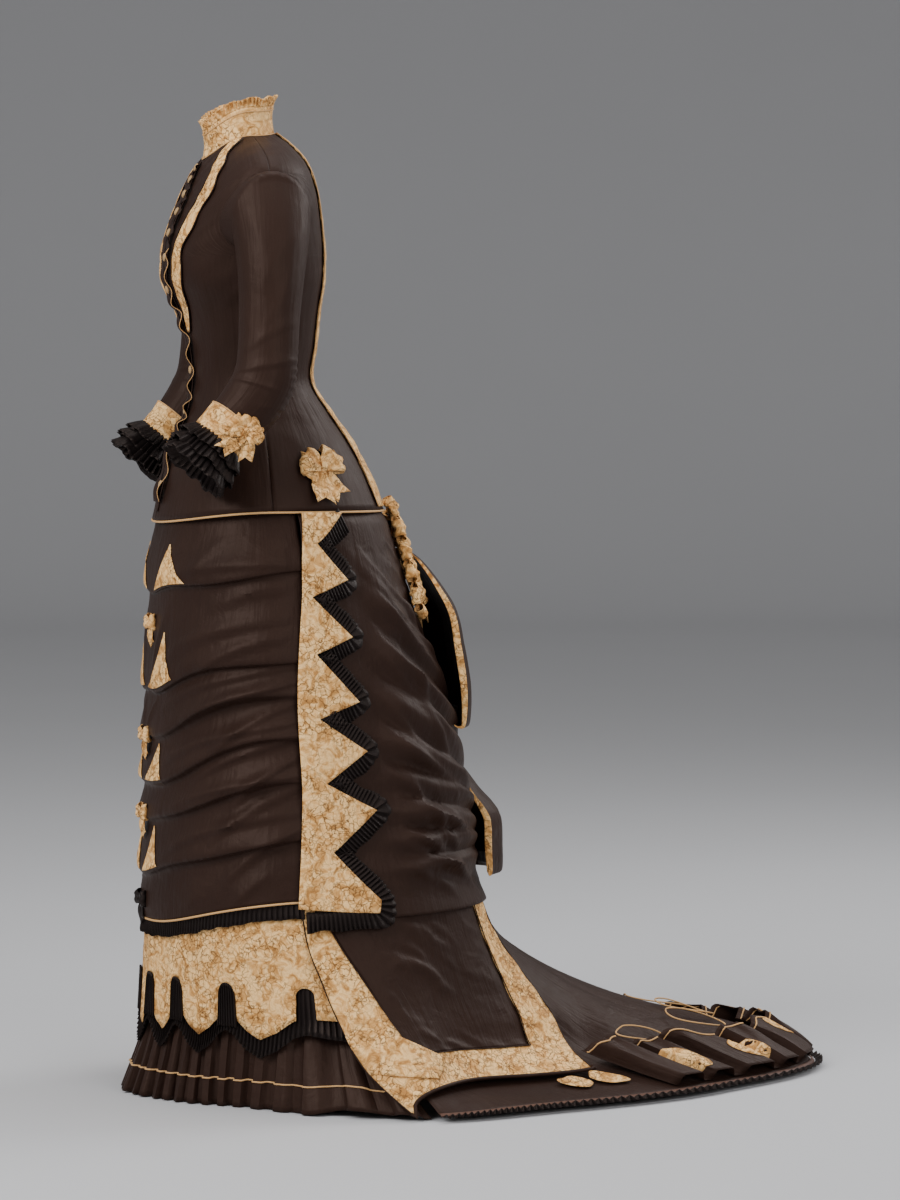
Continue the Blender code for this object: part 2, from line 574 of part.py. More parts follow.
def make_insets():
    for number, (fold, rows_up, apex, start, end) in enumerate(INSETS):
        last_row = 3 * (fold + 1)
        down = np.linspace(0, 1, 5)[:, None]
        spread = 0.04 + 0.96 * down**1.5
        across = np.linspace(0, 1, 3)[None, :]
        middle = apex + ((start + end) / 2 - apex) * down
        angle = middle + (across - 0.5) * (end - start) * spread
        row = np.broadcast_to(last_row - rows_up * (1 - down) - INSET_LOWER, angle.shape)
        height, lift = apron_point(angle, row)
        lift = lift + INSET_LIFT
        for side, which in ((1, "left"), (-1, "right")):
            cloth_wall(f"inset_{which}_{number + 1}", skirt, angle, height, lift, TAN, TRIM_WALL, side)


# Underskirt

BAND_EDGE, FLOUNCE_EDGE = 106.5, 117.2
BAND_TOP, TAB_TIP, TAB_SHOULDER, SLOT_TOP = 0.272, 0.098, 0.131, 0.174
SLOT_ANGLES = np.array([12.5, 38.0, 69.0, 97.0])
SLOT_HALF = 3.0
# Edge of a slot. Columns: share of its half width, height.
SLOT_OUTLINE = (
    (-1.0, TAB_SHOULDER), (-0.9, SLOT_TOP - 0.010), (-0.5, SLOT_TOP),
    (0.5, SLOT_TOP), (0.9, SLOT_TOP - 0.010), (1.0, TAB_SHOULDER),
)
# Lower edge of a tab. Columns: share of the way to the next slot, share of the drop to the tip.
TAB_OUTLINE = ((0.3, 0.65), (0.5, 1.0), (0.7, 0.65))
BAND_LIFT = -0.0032
# How far the underskirt sinks where it runs back under the side panels.
BAND_TUCK, FLOUNCE_TUCK = 0.0085, 0.0125


def tucked(angle, depth):
    return depth * step(np.abs(angle), 96.5, 103)


def tab_profile():
    """Angles and lower edge heights of the tabbed band: round-topped slots between pointed tabs."""
    slots = np.concatenate([-SLOT_ANGLES[::-1], SLOT_ANGLES])
    angles, heights = [-BAND_EDGE], [TAB_SHOULDER]
    for number, slot in enumerate(slots):
        half = SLOT_HALF * (1.25 - 0.4 * abs(slot) / 100)
        for across, height in SLOT_OUTLINE:
            angles.append(slot + across * half)
            heights.append(height)
        if number < len(slots) - 1:
            following = slots[number + 1]
            for share, drop in TAB_OUTLINE:
                angles.append(slot + share * (following - slot))
                heights.append(TAB_SHOULDER + (TAB_TIP - TAB_SHOULDER) * drop)
    angles.append(BAND_EDGE)
    heights.append(TAB_SHOULDER)
    return np.array(angles), np.array(heights)


FLOUNCE_PLEATS, FLOUNCE_TOP, FLOUNCE_PLEAT_DEPTH = 18, 0.128, 0.009
FLOUNCE_HEM, FLOUNCE_HEM_RISE, FLOUNCE_TOP_LIFT, FLOUNCE_HEM_LIFT = 0.0015, 0.88, -0.0247, -0.004
TAB_PLEATS, TAB_PLEAT_DEPTH, TAB_TRIM_DROP, TAB_TRIM_UNDER = 26, 0.0013, 0.017, (0.0062, 0.0046)


def box_pleats(count, depth):
    """Flat-topped pleats, four samples to each."""
    return depth * np.tile([0.0, 1.0, 1.0, 0.0], count)


def make_underskirt():
    angle, edge = tab_profile()
    height = np.stack([np.full_like(angle, BAND_TOP), edge])
    lift = BAND_LIFT - tucked(angle, BAND_TUCK)
    cloth_wall("tabbed_band", skirt, angle[None, :], height, lift, TAN, SILK_WALL)
    fine = np.linspace(-BAND_EDGE, BAND_EDGE, 2 * TAB_PLEATS + 1)
    lower = np.interp(fine, angle, edge)
    filled = np.minimum(lower, TAB_SHOULDER + 0.004) - TAB_TRIM_DROP
    zigzag = TAB_PLEAT_DEPTH * np.tile([1, -1], TAB_PLEATS + 1)[: len(fine)]
    height = np.stack([np.full_like(fine, SLOT_TOP + 0.010), filled])
    lift = BAND_LIFT - np.array(TAB_TRIM_UNDER)[:, None] + zigzag - tucked(fine, BAND_TUCK)
    cloth_wall("tab_trim", skirt, fine[None, :], height, lift, BLACK, TRIM_WALL)
    count = FLOUNCE_PLEATS
    angle = np.linspace(-FLOUNCE_EDGE, FLOUNCE_EDGE, 4 * count)
    pleat = box_pleats(count, FLOUNCE_PLEAT_DEPTH)
    tuck = tucked(angle, FLOUNCE_TUCK)
    height = np.stack([np.full_like(angle, FLOUNCE_TOP), FLOUNCE_HEM + FLOUNCE_HEM_RISE * tuck])
    lift = np.stack([FLOUNCE_TOP_LIFT + 0.5 * pleat, FLOUNCE_HEM_LIFT + 1.1 * pleat]) - tuck
    cloth_wall("flounce_front", skirt, angle[None, :], height, lift, BROWN, SILK_WALL)


# Hip panels. The toothed edge has a row for each notch and tip. Columns: height, edge angle.
HIP_EDGE = np.array([
    [0.832, 121.0], [0.800, 107.0], [0.748, 119.0], [0.726, 103.5], [0.669, 118.5], [0.647, 104.0],
    [0.579, 119.0], [0.557, 104.7], [0.510, 121.0], [0.467, 106.4], [0.427, 123.0], [0.371, 107.6],
    [0.302, 120.5], [0.284, 119.5],
])
# Front edge of the hip panel. Columns: height, angle.
HIP_FRONT = np.array([[0.284, 96.2], [0.435, 98.0], [0.576, 97.0], [0.735, 99.7], [0.832, 104.0]])
HIP_LIFT, HIP_FRILL_LIFT, HIP_FRILL_DEPTH = 0.0118, 0.0072, 0.0008
HIP_FRILL_REACH, HIP_FRILL_TUCK, HIP_FRILL_DROP = 4.0, 3.0, 0.013


def make_hip_panels():
    height = HIP_EDGE[:, :1]
    front = np.interp(height, HIP_FRONT[:, 0], HIP_FRONT[:, 1])
    across = np.array([0, 0.35, 0.7, 1.0])[None, :]
    angle = front + across * (HIP_EDGE[:, 1:] - front)
    sway = -0.010 * across * step(height, 0.84, 0.80)
    fine = np.linspace(0.826, 0.270, 35)[:, None]
    edge = np.interp(-(fine + HIP_FRILL_DROP), -HIP_EDGE[:, 0], HIP_EDGE[:, 1])
    edge = edge + HIP_FRILL_REACH
    start = edge - HIP_FRILL_REACH - HIP_FRILL_TUCK
    frill_angle = start + np.array([0, 1.0])[None, :] * (edge - start)
    frill_lift = HIP_FRILL_LIFT + HIP_FRILL_DEPTH * np.tile([1, -1], 18)[: len(fine), None]
    for side, which in ((1, "left"), (-1, "right")):
        cloth_wall(f"hip_panel_{which}", skirt, angle, height + sway, HIP_LIFT, TAN, SILK_WALL, side)
        cloth_wall(f"hip_frill_{which}", skirt, frill_angle, fine, frill_lift, BLACK, TRIM_WALL, side)


# Back drapery

DRAPERY_START = 101.2
DRAPERY_ANGLES = np.array([DRAPERY_START, 110, 118, 126, 134, 141, 148, 155, 162, 168, 174, 179.85])
# Diagonal folds of the drapery. Columns: height at the hip panel, fall to the centre back, width, depth.
DRAPERY_FOLDS = np.array([
    [0.86, 0.34, 0.020, 0.010], [0.80, 0.22, 0.022, 0.013], [0.72, 0.20, 0.024, 0.015],
    [0.64, 0.17, 0.022, 0.014], [0.565, 0.13, 0.022, 0.016], [0.50, 0.10, 0.020, 0.014],
    [0.435, 0.055, 0.020, 0.016], [0.385, 0.030, 0.017, 0.013], [0.335, 0.0, 0.015, 0.011],
])
DRAPERY_LIFT, DRAPERY_HEM_LIFT, DRAPERY_TOP_LIFT = 0.0028, 0.003, -0.0065
DRAPERY_ROWS = np.concatenate([[0.862, 0.826], np.linspace(0.80, 0.285, 16), [0.268]])


def drapery_lift(angle, height):
    """Rounded folds that run down to the centre back, calm under the hip panel."""
    along = (angle - DRAPERY_START) / (180 - DRAPERY_START)
    lift = np.zeros(np.broadcast(angle, height).shape)
    for start, fall, width, depth in DRAPERY_FOLDS:
        lift = np.maximum(lift, depth * bump(height, start - fall * along**1.1, width * (0.8 + 0.5 * along)))
    calm = step(angle, 127, 140) * (1 - 0.6 * step(angle, 158, 172)) * (1 - step(height, 0.300, 0.275))
    over_panel = DRAPERY_HEM_LIFT * (1 - step(height, 0.265, 0.300))
    return DRAPERY_LIFT + over_panel + lift * (0.10 + 0.90 * calm) * step(height, 0.835, 0.800)


def make_drapery():
    height = DRAPERY_ROWS[:, None]
    angle = DRAPERY_ANGLES[None, :]
    lift = np.where(height > 0.82, DRAPERY_TOP_LIFT, drapery_lift(angle, height))
    for side, which in ((1, "left"), (-1, "right")):
        cloth_wall(f"drapery_{which}", skirt, angle, height, lift, BROWN, SILK_WALL, side)


# Lower side panels, from the hip to the floor. Columns: share down, front angle and height, back angle and
# height.
SIDE_PANEL = np.array([
    [0.00, 97.0, 0.286, 166.0, 0.300],
    [0.20, 98.5, 0.235, 165.0, 0.225],
    [0.40, 102.0, 0.180, 163.0, 0.160],
    [0.60, 105.5, 0.120, 160.5, 0.112],
    [0.80, 108.5, 0.065, 158.0, 0.075],
    [1.00, 114.0, 0.006, 154.0, 0.040],
])
PANEL_LIFT, HEM_RISE = 0.0008, 0.065
# The front border is narrow at the hip and widens to the floor: its share of the panel, and how it grows.
BORDER_TOP, BORDER_GROWTH, BORDER_BACK, BORDER_BOTTOM = 0.05, 0.22, 0.87, 0.81


def side_panel_point(across, down):
    """Angle and height on the side panel; its lower edge rises steeply behind its front corner."""
    columns = spline(SIDE_PANEL[:, 0], SIDE_PANEL[:, 1:], down)
    angle = columns[..., 0] + across * (columns[..., 2] - columns[..., 0])
    height = columns[..., 1] + across * (columns[..., 3] - columns[..., 1])
    return angle, height + HEM_RISE * across**0.35 * (1 - across)**1.5 * down**2


def border_front(down):
    return BORDER_TOP + BORDER_GROWTH * down**0.6


def make_side_panels():
    gap = 0.003
    rows = np.linspace(0, BORDER_BOTTOM, 7)
    down = np.append(rows[:-1], BORDER_BOTTOM - gap)[:, None]
    front = border_front(down) + gap
    across = front + np.linspace(0, 1, 8)[None, :] * (BORDER_BACK - gap - front)
    centre = side_panel_point(*np.broadcast_arrays(across, down))
    # The border runs down the front edge, along the hem and up the back edge as one mitred strip.
    outer_line = [(0.0, v) for v in np.linspace(0, 1, 7)]
    outer_line += [(u, 1.0) for u in np.linspace(0, 1, 9)[1:]]
    outer_line += [(1.0, v) for v in np.linspace(1, 0, 7)[1:]]
    inner_line = [(border_front(v), v) for v in rows]
    corner = border_front(BORDER_BOTTOM)
    inner_line += [(u, BORDER_BOTTOM) for u in np.linspace(corner, BORDER_BACK, 9)[1:]]
    inner_line += [(BORDER_BACK, v) for v in np.linspace(BORDER_BOTTOM, 0, 7)[1:]]
    lines = np.array([outer_line, inner_line])
    lines = np.stack([lines[0], 0.5 * (lines[0] + lines[1]), lines[1]])
    border = side_panel_point(lines[..., 0], lines[..., 1])
    for side, which in ((1, "left"), (-1, "right")):
        cloth_wall(f"side_panel_{which}", skirt, *centre, PANEL_LIFT - 0.001, BROWN, SILK_WALL, side)
        cloth_wall(f"side_border_{which}", skirt, *border, PANEL_LIFT, TAN, SILK_WALL, side)


# Train

TRAIN_START, TRAIN_LIFT = 118.0, -0.0033
TRAIN_ROWS = np.array([0.300, 0.230, 0.175, 0.130, 0.095, 0.060, 0.032, 0.0105])
TRAIN_COLUMNS, TRAIN_HEM_LIFT = 19, 0.0023
TRAIN_PLEATS, TRAIN_PLEAT_DEPTH, TRAIN_FLOUNCE_SPAN = 11, 0.018, 23.0
TRAIN_TUCK, TRAIN_RIPPLE, TRAIN_FLOUNCE_HEIGHTS = 0.0103, 0.003, (0.056, 0.014)
RUFFLE_WAVES, RUFFLE_DEPTH, RUFFLE_HEIGHTS = 26, 0.0022, (0.0060, 0.0012)
BINDING_LIFT, BINDING_HEIGHTS = 0.0012, (0.0110, 0.0065)


def make_train():
    angle = np.linspace(TRAIN_START, 360 - TRAIN_START, TRAIN_COLUMNS)[None, :]
    height = TRAIN_ROWS[:, None]
    from_back = np.abs(angle - 180)
    ripple = np.sin(np.radians(angle * 9)) ** 2 * step(height, 0.14, 0.06) ** 2 * step(from_back, 30, 20) ** 2
    under = TRAIN_TUCK * step(from_back, 14, 30) * step(height, 0.025, 0.050)
    lift = TRAIN_LIFT + TRAIN_HEM_LIFT * step(height, 0.030, 0.012) - under - TRAIN_RIPPLE * ripple
    cloth_wall("train", skirt, angle, height, lift, BROWN, SILK_WALL)
    count = TRAIN_PLEATS
    angle = np.linspace(180 - TRAIN_FLOUNCE_SPAN, 180 + TRAIN_FLOUNCE_SPAN, 4 * count)
    pleat = box_pleats(count, TRAIN_PLEAT_DEPTH)
    height = np.array(TRAIN_FLOUNCE_HEIGHTS)[:, None] + 0 * angle
    lift = np.stack([0.0045 + 1.1 * pleat, 0.0015 + 0.8 * pleat])
    cloth_wall("train_flounce", skirt, angle[None, :], height, lift, BROWN, SILK_WALL)
    angle = np.linspace(TRAIN_START, 360 - TRAIN_START, TRAIN_COLUMNS)[None, :]
    height = np.array(BINDING_HEIGHTS)[:, None]
    cloth_wall("train_binding", skirt, angle, height, BINDING_LIFT, RUST, SILK_WALL)
    angle = np.linspace(TRAIN_START, 360 - TRAIN_START, 2 * RUFFLE_WAVES + 1)
    wave = RUFFLE_DEPTH * np.tile([1, -1], RUFFLE_WAVES + 1)[: len(angle)]
    height = np.array(RUFFLE_HEIGHTS)[:, None]
    lift = np.stack([0.0026 + 0.3 * wave, 0.0040 + wave])
    cloth_wall("hem_ruffle", skirt, angle[None, :], height, lift, BLACK, TRIM_WALL)


def clear_scene():
    for obj in list(bpy.data.objects):
        bpy.data.objects.remove(obj, do_unlink=True)


# Back ornament and sash loops. Sash profile columns: distance back, height, half width.
SASH_UPPER = np.array([
    [0.2392, 0.776, 0.030], [0.262, 0.757, 0.050], [0.290, 0.722, 0.070], [0.312, 0.685, 0.084],
    [0.322, 0.637, 0.092], [0.329, 0.594, 0.095], [0.331, 0.560, 0.095], [0.328, 0.525, 0.093],
])
SASH_LOWER = np.array([
    [0.319, 0.462, 0.050], [0.343, 0.428, 0.070], [0.364, 0.405, 0.082], [0.376, 0.384, 0.085],
    [0.378, 0.345, 0.085], [0.378, 0.310, 0.083],
])
SASH_WALL = 0.0022


# How each loop turns in under. Columns: distance in from its end, rise.
UPPER_TURN = ((0.008, -0.005), (0.015, 0.002), (0.018, 0.022))
LOWER_TURN = ((0.007, -0.005), (0.012, 0.002), (0.014, 0.018))
SASH_ROWS, SASH_BOW = 7, 0.20


def make_sash(name, profile, turn):
    """A hanging loop of cloth: it arches out over the drapery and turns in under at its lower end."""
    share = np.linspace(0, 1, SASH_ROWS)
    rows = spline(np.linspace(0, 1, len(profile)), profile, share)
    end = rows[-1]
    under = [[end[0] - inward, end[1] + rise, end[2]] for inward, rise in turn]
    rows = np.concatenate([rows, under])
    across = np.linspace(-1, 1, 7)
    x = rows[:, 2:] * across[None, :]
    y = rows[:, :1] - SASH_BOW * rows[:, 2:] * across[None, :] ** 2
    z = rows[:, 1:2] + 0.0 * x
    points = np.stack([x, y, z], -1)
    down = np.gradient(points, axis=0)
    over = np.gradient(points, axis=1)
    normal = np.cross(over, down)
    normal /= np.linalg.norm(normal, axis=-1, keepdims=True)
    make_object(name, *wall_mesh(points, points - normal * SASH_WALL), BROWN)


ORNAMENT_LOOPS, ORNAMENT_TOP, ORNAMENT_LENGTH, ORNAMENT_ANGLE, ORNAMENT_TRAIL = 4, 0.832, 0.142, 176.0, 12.0
ORNAMENT_LIFT, ORNAMENT_PUFF, ORNAMENT_CREASE = 0.0096, 0.012, 0.004


def make_back_ornament():
    """A cascade of tan loops at the centre back: a folded ribbon that widens and narrows down the cloth."""
    rows = np.linspace(0, 1, 3 * ORNAMENT_LOOPS + 1)
    height = ORNAMENT_TOP - ORNAMENT_LENGTH * rows
    wave = np.abs(np.sin(np.pi * ORNAMENT_LOOPS * rows)) ** 0.7
    half = 5.0 + 6.0 * wave
    across = np.linspace(-1, 1, 6)[None, :]
    angle = ORNAMENT_ANGLE - ORNAMENT_TRAIL * rows[:, None] + half[:, None] * across
    lift = ORNAMENT_LIFT + (ORNAMENT_PUFF * wave)[:, None] * (1 - 0.5 * across ** 2)
    lift = lift + ORNAMENT_CREASE * np.cos(across * 9)
    cloth_wall("back_ornament", skirt, angle, height[:, None], lift, TAN, SILK_WALL)


def main():
    clear_scene()
    make_bodice()
    make_bodice_trims()
    make_front_closing()
    make_collar()
    make_sleeves()
    make_bows()
    make_apron()
    make_insets()
    make_underskirt()
    make_hip_panels()
    make_drapery()
    make_side_panels()
    make_train()
    make_back_ornament()
    make_sash("sash_loop_upper", SASH_UPPER, UPPER_TURN)
    make_sash("sash_loop_lower", SASH_LOWER, LOWER_TURN)


main()
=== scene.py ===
import bmesh
import bpy
import numpy as np
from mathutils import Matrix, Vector


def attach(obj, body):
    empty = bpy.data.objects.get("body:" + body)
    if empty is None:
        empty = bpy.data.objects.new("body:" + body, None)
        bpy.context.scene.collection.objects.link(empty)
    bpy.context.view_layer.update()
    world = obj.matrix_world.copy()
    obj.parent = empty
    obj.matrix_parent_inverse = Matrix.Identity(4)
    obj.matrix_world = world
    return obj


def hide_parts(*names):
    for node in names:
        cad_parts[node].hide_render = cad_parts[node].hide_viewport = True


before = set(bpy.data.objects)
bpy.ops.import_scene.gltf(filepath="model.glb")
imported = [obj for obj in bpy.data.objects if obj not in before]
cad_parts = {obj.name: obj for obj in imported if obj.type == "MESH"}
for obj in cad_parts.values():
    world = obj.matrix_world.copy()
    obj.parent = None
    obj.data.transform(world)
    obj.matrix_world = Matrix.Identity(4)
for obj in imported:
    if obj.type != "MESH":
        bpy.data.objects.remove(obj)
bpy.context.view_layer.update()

# Silk wedding gown of about 1880. Heights in the tables are metres above the floor, and the origin is at
# the middle of the shoulder line. The wearer faces -Y, their left side is +X and the train runs to +Y.
holdHeight = 1.340


# number helpers: all of them take and give whole arrays

def splineAt(knots, values, x, flatEnds=False):
    # cubic Hermite curve through the values, with slopes from neighbouring knots
    knots, values, x = (np.asarray(v, float) for v in (knots, values, x))
    slopes = np.gradient(values, knots, axis=0)
    if flatEnds:
        slopes[[0, -1]] = 0
    x = np.clip(x, knots[0], knots[-1])
    low = np.clip(np.searchsorted(knots, x, side="right") - 1, 0, len(knots) - 2)
    gap = knots[low + 1] - knots[low]
    t = (x - knots[low]) / gap
    shape = t.shape + (1,) * (values.ndim - 1)
    t, gap = t.reshape(shape), gap.reshape(shape)
    return ((1 + 2 * t) * (1 - t) ** 2 * values[low] + t * (1 - t) ** 2 * gap * slopes[low]
            + t ** 2 * (3 - 2 * t) * values[low + 1] + t ** 2 * (t - 1) * gap * slopes[low + 1])


def alongRows(values, row):
    # the same curve down axis 0 of values, where every point of row has a column of its own
    values, row = np.asarray(values, float), np.asarray(row, float)
    slopes = np.gradient(values, axis=0)
    low = np.clip(np.floor(row).astype(int), 0, len(values) - 2)
    t = row - low
    v0, v1 = (np.take_along_axis(values, (low + k)[None], 0)[0] for k in (0, 1))
    s0, s1 = (np.take_along_axis(slopes, (low + k)[None], 0)[0] for k in (0, 1))
    return ((1 + 2 * t) * (1 - t) ** 2 * v0 + t * (1 - t) ** 2 * s0
            + t ** 2 * (3 - 2 * t) * v1 + t ** 2 * (t - 1) * s1)


def ease(x, start, end):
    t = np.clip((x - start) / (end - start), 0, 1)
    return t * t * (3 - 2 * t)


def bell(x, centre, width):
    return np.exp(-((x - centre) / width) ** 2)


def wander(x, seed, shortest=0.7, longest=3.0, count=6):
    # an uneven wave about 1 high: a few sines whose lengths and starts come from the seed
    rng = np.random.default_rng(seed)
    lengths = rng.uniform(shortest, longest, count)
    starts = rng.uniform(0, 6.28, count)
    total = sum(np.sin(6.28 * x / length + start) for length, start in zip(lengths, starts))
    return total / np.sqrt(count)


def knifePleats(count):
    # four points a pleat: a slow rise and a sharp return
    return np.tile([-1.0, -0.2, 0.6, 1.0], count)


def creases(a, b, table, perA, perB, wrap=None):
    # soft ridges and troughs. Each row of the table is one: it runs from (a0, b0) to (a1, b1) with a bow,
    # a height and a half width in metres. Its second side falls off in half the width of the first.
    total = np.zeros(np.broadcast(a, b).shape)
    for a0, b0, a1, b1, bow, height, width in table:
        fromStart = a - a0 if wrap is None else (a - a0 + wrap / 2) % wrap - wrap / 2
        x, y = fromStart * perA, (b - b0) * perB
        alongX, alongY = (a1 - a0) * perA, (b1 - b0) * perB
        length = np.hypot(alongX, alongY)
        t = (x * alongX + y * alongY) / length ** 2
        inside = np.clip(t, 0, 1)
        away = (x * alongY - y * alongX) / length - bow * np.sin(np.pi * inside)
        past = (t - inside) * length
        reach = np.where(away > 0, width, 0.5 * width)
        swell = np.sin(np.pi * np.clip(t * 0.94 + 0.03, 0, 1)) ** 0.7
        total += height * swell * np.exp(-(away / reach) ** 2 - (past / width) ** 2)
    return total


def scattered(seed, count, spanA, spanB, leanA, leanB, height, width):
    # rows for a crease table: small uneven ones inside a patch, leaning the same way
    rng = np.random.default_rng(seed)
    a0, b0 = rng.uniform(*spanA, count), rng.uniform(*spanB, count)
    size = rng.uniform(0.4, 1.2, count)
    a1 = a0 + leanA * size + rng.normal(0, abs(leanA) * 0.18, count)
    b1 = b0 + leanB * size + rng.normal(0, abs(leanB) * 0.25 + 0.002, count)
    high = height * rng.uniform(0.35, 1.0, count) * rng.choice([1, -0.7], count, p=[0.7, 0.3])
    return np.stack([a0, b0, a1, b1, rng.normal(0, 0.006, count), high, width * rng.uniform(0.6, 1.5, count)], 1)


# the two forms that all the cloth lies on

torsoTable = np.array([
    # front height, side height, back height, half width, front depth, back depth
    [1.335, 1.366, 1.373, 0.058, 0.060, 0.042],
    [1.322, 1.357, 1.360, 0.085, 0.067, 0.058],
    [1.308, 1.346, 1.346, 0.118, 0.074, 0.071],
    [1.292, 1.331, 1.330, 0.150, 0.081, 0.082],
    [1.272, 1.310, 1.308, 0.172, 0.089, 0.091],
    [1.250, 1.275, 1.278, 0.176, 0.099, 0.100],
    [1.224, 1.236, 1.240, 0.166, 0.108, 0.107],
    [1.195, 1.196, 1.198, 0.153, 0.112, 0.112],
    [1.158, 1.158, 1.160, 0.144, 0.111, 0.111],
    [1.118, 1.118, 1.120, 0.127, 0.094, 0.106],
    [1.068, 1.069, 1.070, 0.114, 0.079, 0.101],
    [1.014, 1.016, 1.018, 0.108, 0.0755, 0.0965],
    [0.968, 0.972, 0.974, 0.124, 0.086, 0.124],
    [0.930, 0.936, 0.938, 0.145, 0.102, 0.150],
    [0.882, 0.890, 0.892, 0.168, 0.117, 0.176],
    [0.820, 0.837, 0.835, 0.190, 0.131, 0.200],
])
bustPlace = {"level": 7.2, "angle": 34.0, "lift": 0.007}

skirtAngles = np.array([0, 45, 90, 115, 140, 160, 180], float)
skirtHeights = np.array([0.865, 0.835, 0.760, 0.660, 0.540, 0.420, 0.300, 0.200, 0.120, 0.060, 0.030, 0.0])
skirtRadii = np.array([
    # distance from the axis at each of the skirt angles
    [0.119, 0.138, 0.174, 0.176, 0.180, 0.183, 0.184],
    [0.128, 0.149, 0.186, 0.188, 0.191, 0.195, 0.196],
    [0.130, 0.154, 0.198, 0.204, 0.211, 0.218, 0.220],
    [0.134, 0.158, 0.208, 0.221, 0.235, 0.247, 0.252],
    [0.139, 0.161, 0.214, 0.233, 0.258, 0.280, 0.288],
    [0.143, 0.163, 0.219, 0.243, 0.276, 0.302, 0.310],
    [0.147, 0.164, 0.225, 0.262, 0.300, 0.325, 0.336],
    [0.151, 0.162, 0.228, 0.288, 0.322, 0.365, 0.395],
    [0.156, 0.161, 0.228, 0.318, 0.347, 0.430, 0.555],
    [0.161, 0.161, 0.229, 0.355, 0.382, 0.510, 0.765],
    [0.164, 0.162, 0.230, 0.382, 0.425, 0.600, 0.830],
    [0.167, 0.162, 0.231, 0.408, 0.530, 0.700, 0.872],
])


def torso(angle, level):
    # an ellipse at each level, deeper at the back, with its neckline and hem tilted front to back
    angle, level = np.broadcast_arrays(np.asarray(angle, float), np.asarray(level, float))
    frontZ, sideZ, backZ, width, front, back = np.moveaxis(splineAt(np.arange(16), torsoTable, level), -1, 0)
    turn = np.radians(angle)
    folded = np.abs((angle + 180) % 360 - 180)
    lobe = bell(folded, bustPlace["angle"], 20) * bell(level, bustPlace["level"], 1.3)
    spread = 1 + bustPlace["lift"] * lobe / front
    cosine = np.cos(turn)
    z = sideZ + (frontZ - sideZ) * np.maximum(cosine, 0) ** 2 + (backZ - sideZ) * np.maximum(-cosine, 0) ** 2
    return np.stack([width * np.sin(turn) * spread, -np.where(cosine > 0, front, back) * cosine * spread, z], -1)


def skirt(angle, height):
    # a radius for each angle and height, read smoothly from the table both ways
    angle, height = np.broadcast_arrays(np.asarray(angle, float), np.asarray(height, float))
    folded = np.abs((angle + 180) % 360 - 180)
    radii = splineAt(skirtHeights[::-1], skirtRadii[::-1], height)
    weights = splineAt(skirtAngles, np.eye(len(skirtAngles)), folded, flatEnds=True)
    radius = (radii * weights).sum(-1)
    turn = np.radians(angle)
    return np.stack([radius * np.sin(turn), -radius * np.cos(turn), height], -1)


def outwards(form, a, b):
    # unit normals, from the cross product of small steps each way
    stepA, stepB = 0.4, 0.004 if form is skirt else 0.2
    normal = np.cross(form(a + stepA, b) - form(a - stepA, b), form(a, b + stepB) - form(a, b - stepB))
    normal /= np.linalg.norm(normal, axis=-1, keepdims=True)
    point = form(a, b)
    facing = (normal[..., :2] * point[..., :2]).sum(-1, keepdims=True)
    return normal * np.where(facing < 0, -1.0, 1.0)


def onForm(form, a, b, lift):
    a, b, lift = np.broadcast_arrays(*(np.asarray(v, float) for v in (a, b, lift)))
    return form(a, b) + lift[..., None] * outwards(form, a, b)


def flipped(points, side):
    return points * np.array([side, 1.0, 1.0])


sides = ((1, "left"), (-1, "right"))


# shader recipes

class Value:
    # wraps a number socket, so that shader maths reads as plain expressions
    def __init__(self, recipe, socket):
        self.recipe, self.socket = recipe, socket

    def maths(self, operation, first, second=0.0):
        node = self.recipe.add("ShaderNodeMath", {"operation": operation}, {0: first, 1: second})
        return Value(self.recipe, node.outputs[0])

    def __add__(self, other): return self.maths("ADD", self, other)
    def __radd__(self, other): return self.maths("ADD", other, self)
    def __mul__(self, other): return self.maths("MULTIPLY", self, other)
    def __rmul__(self, other): return self.maths("MULTIPLY", other, self)


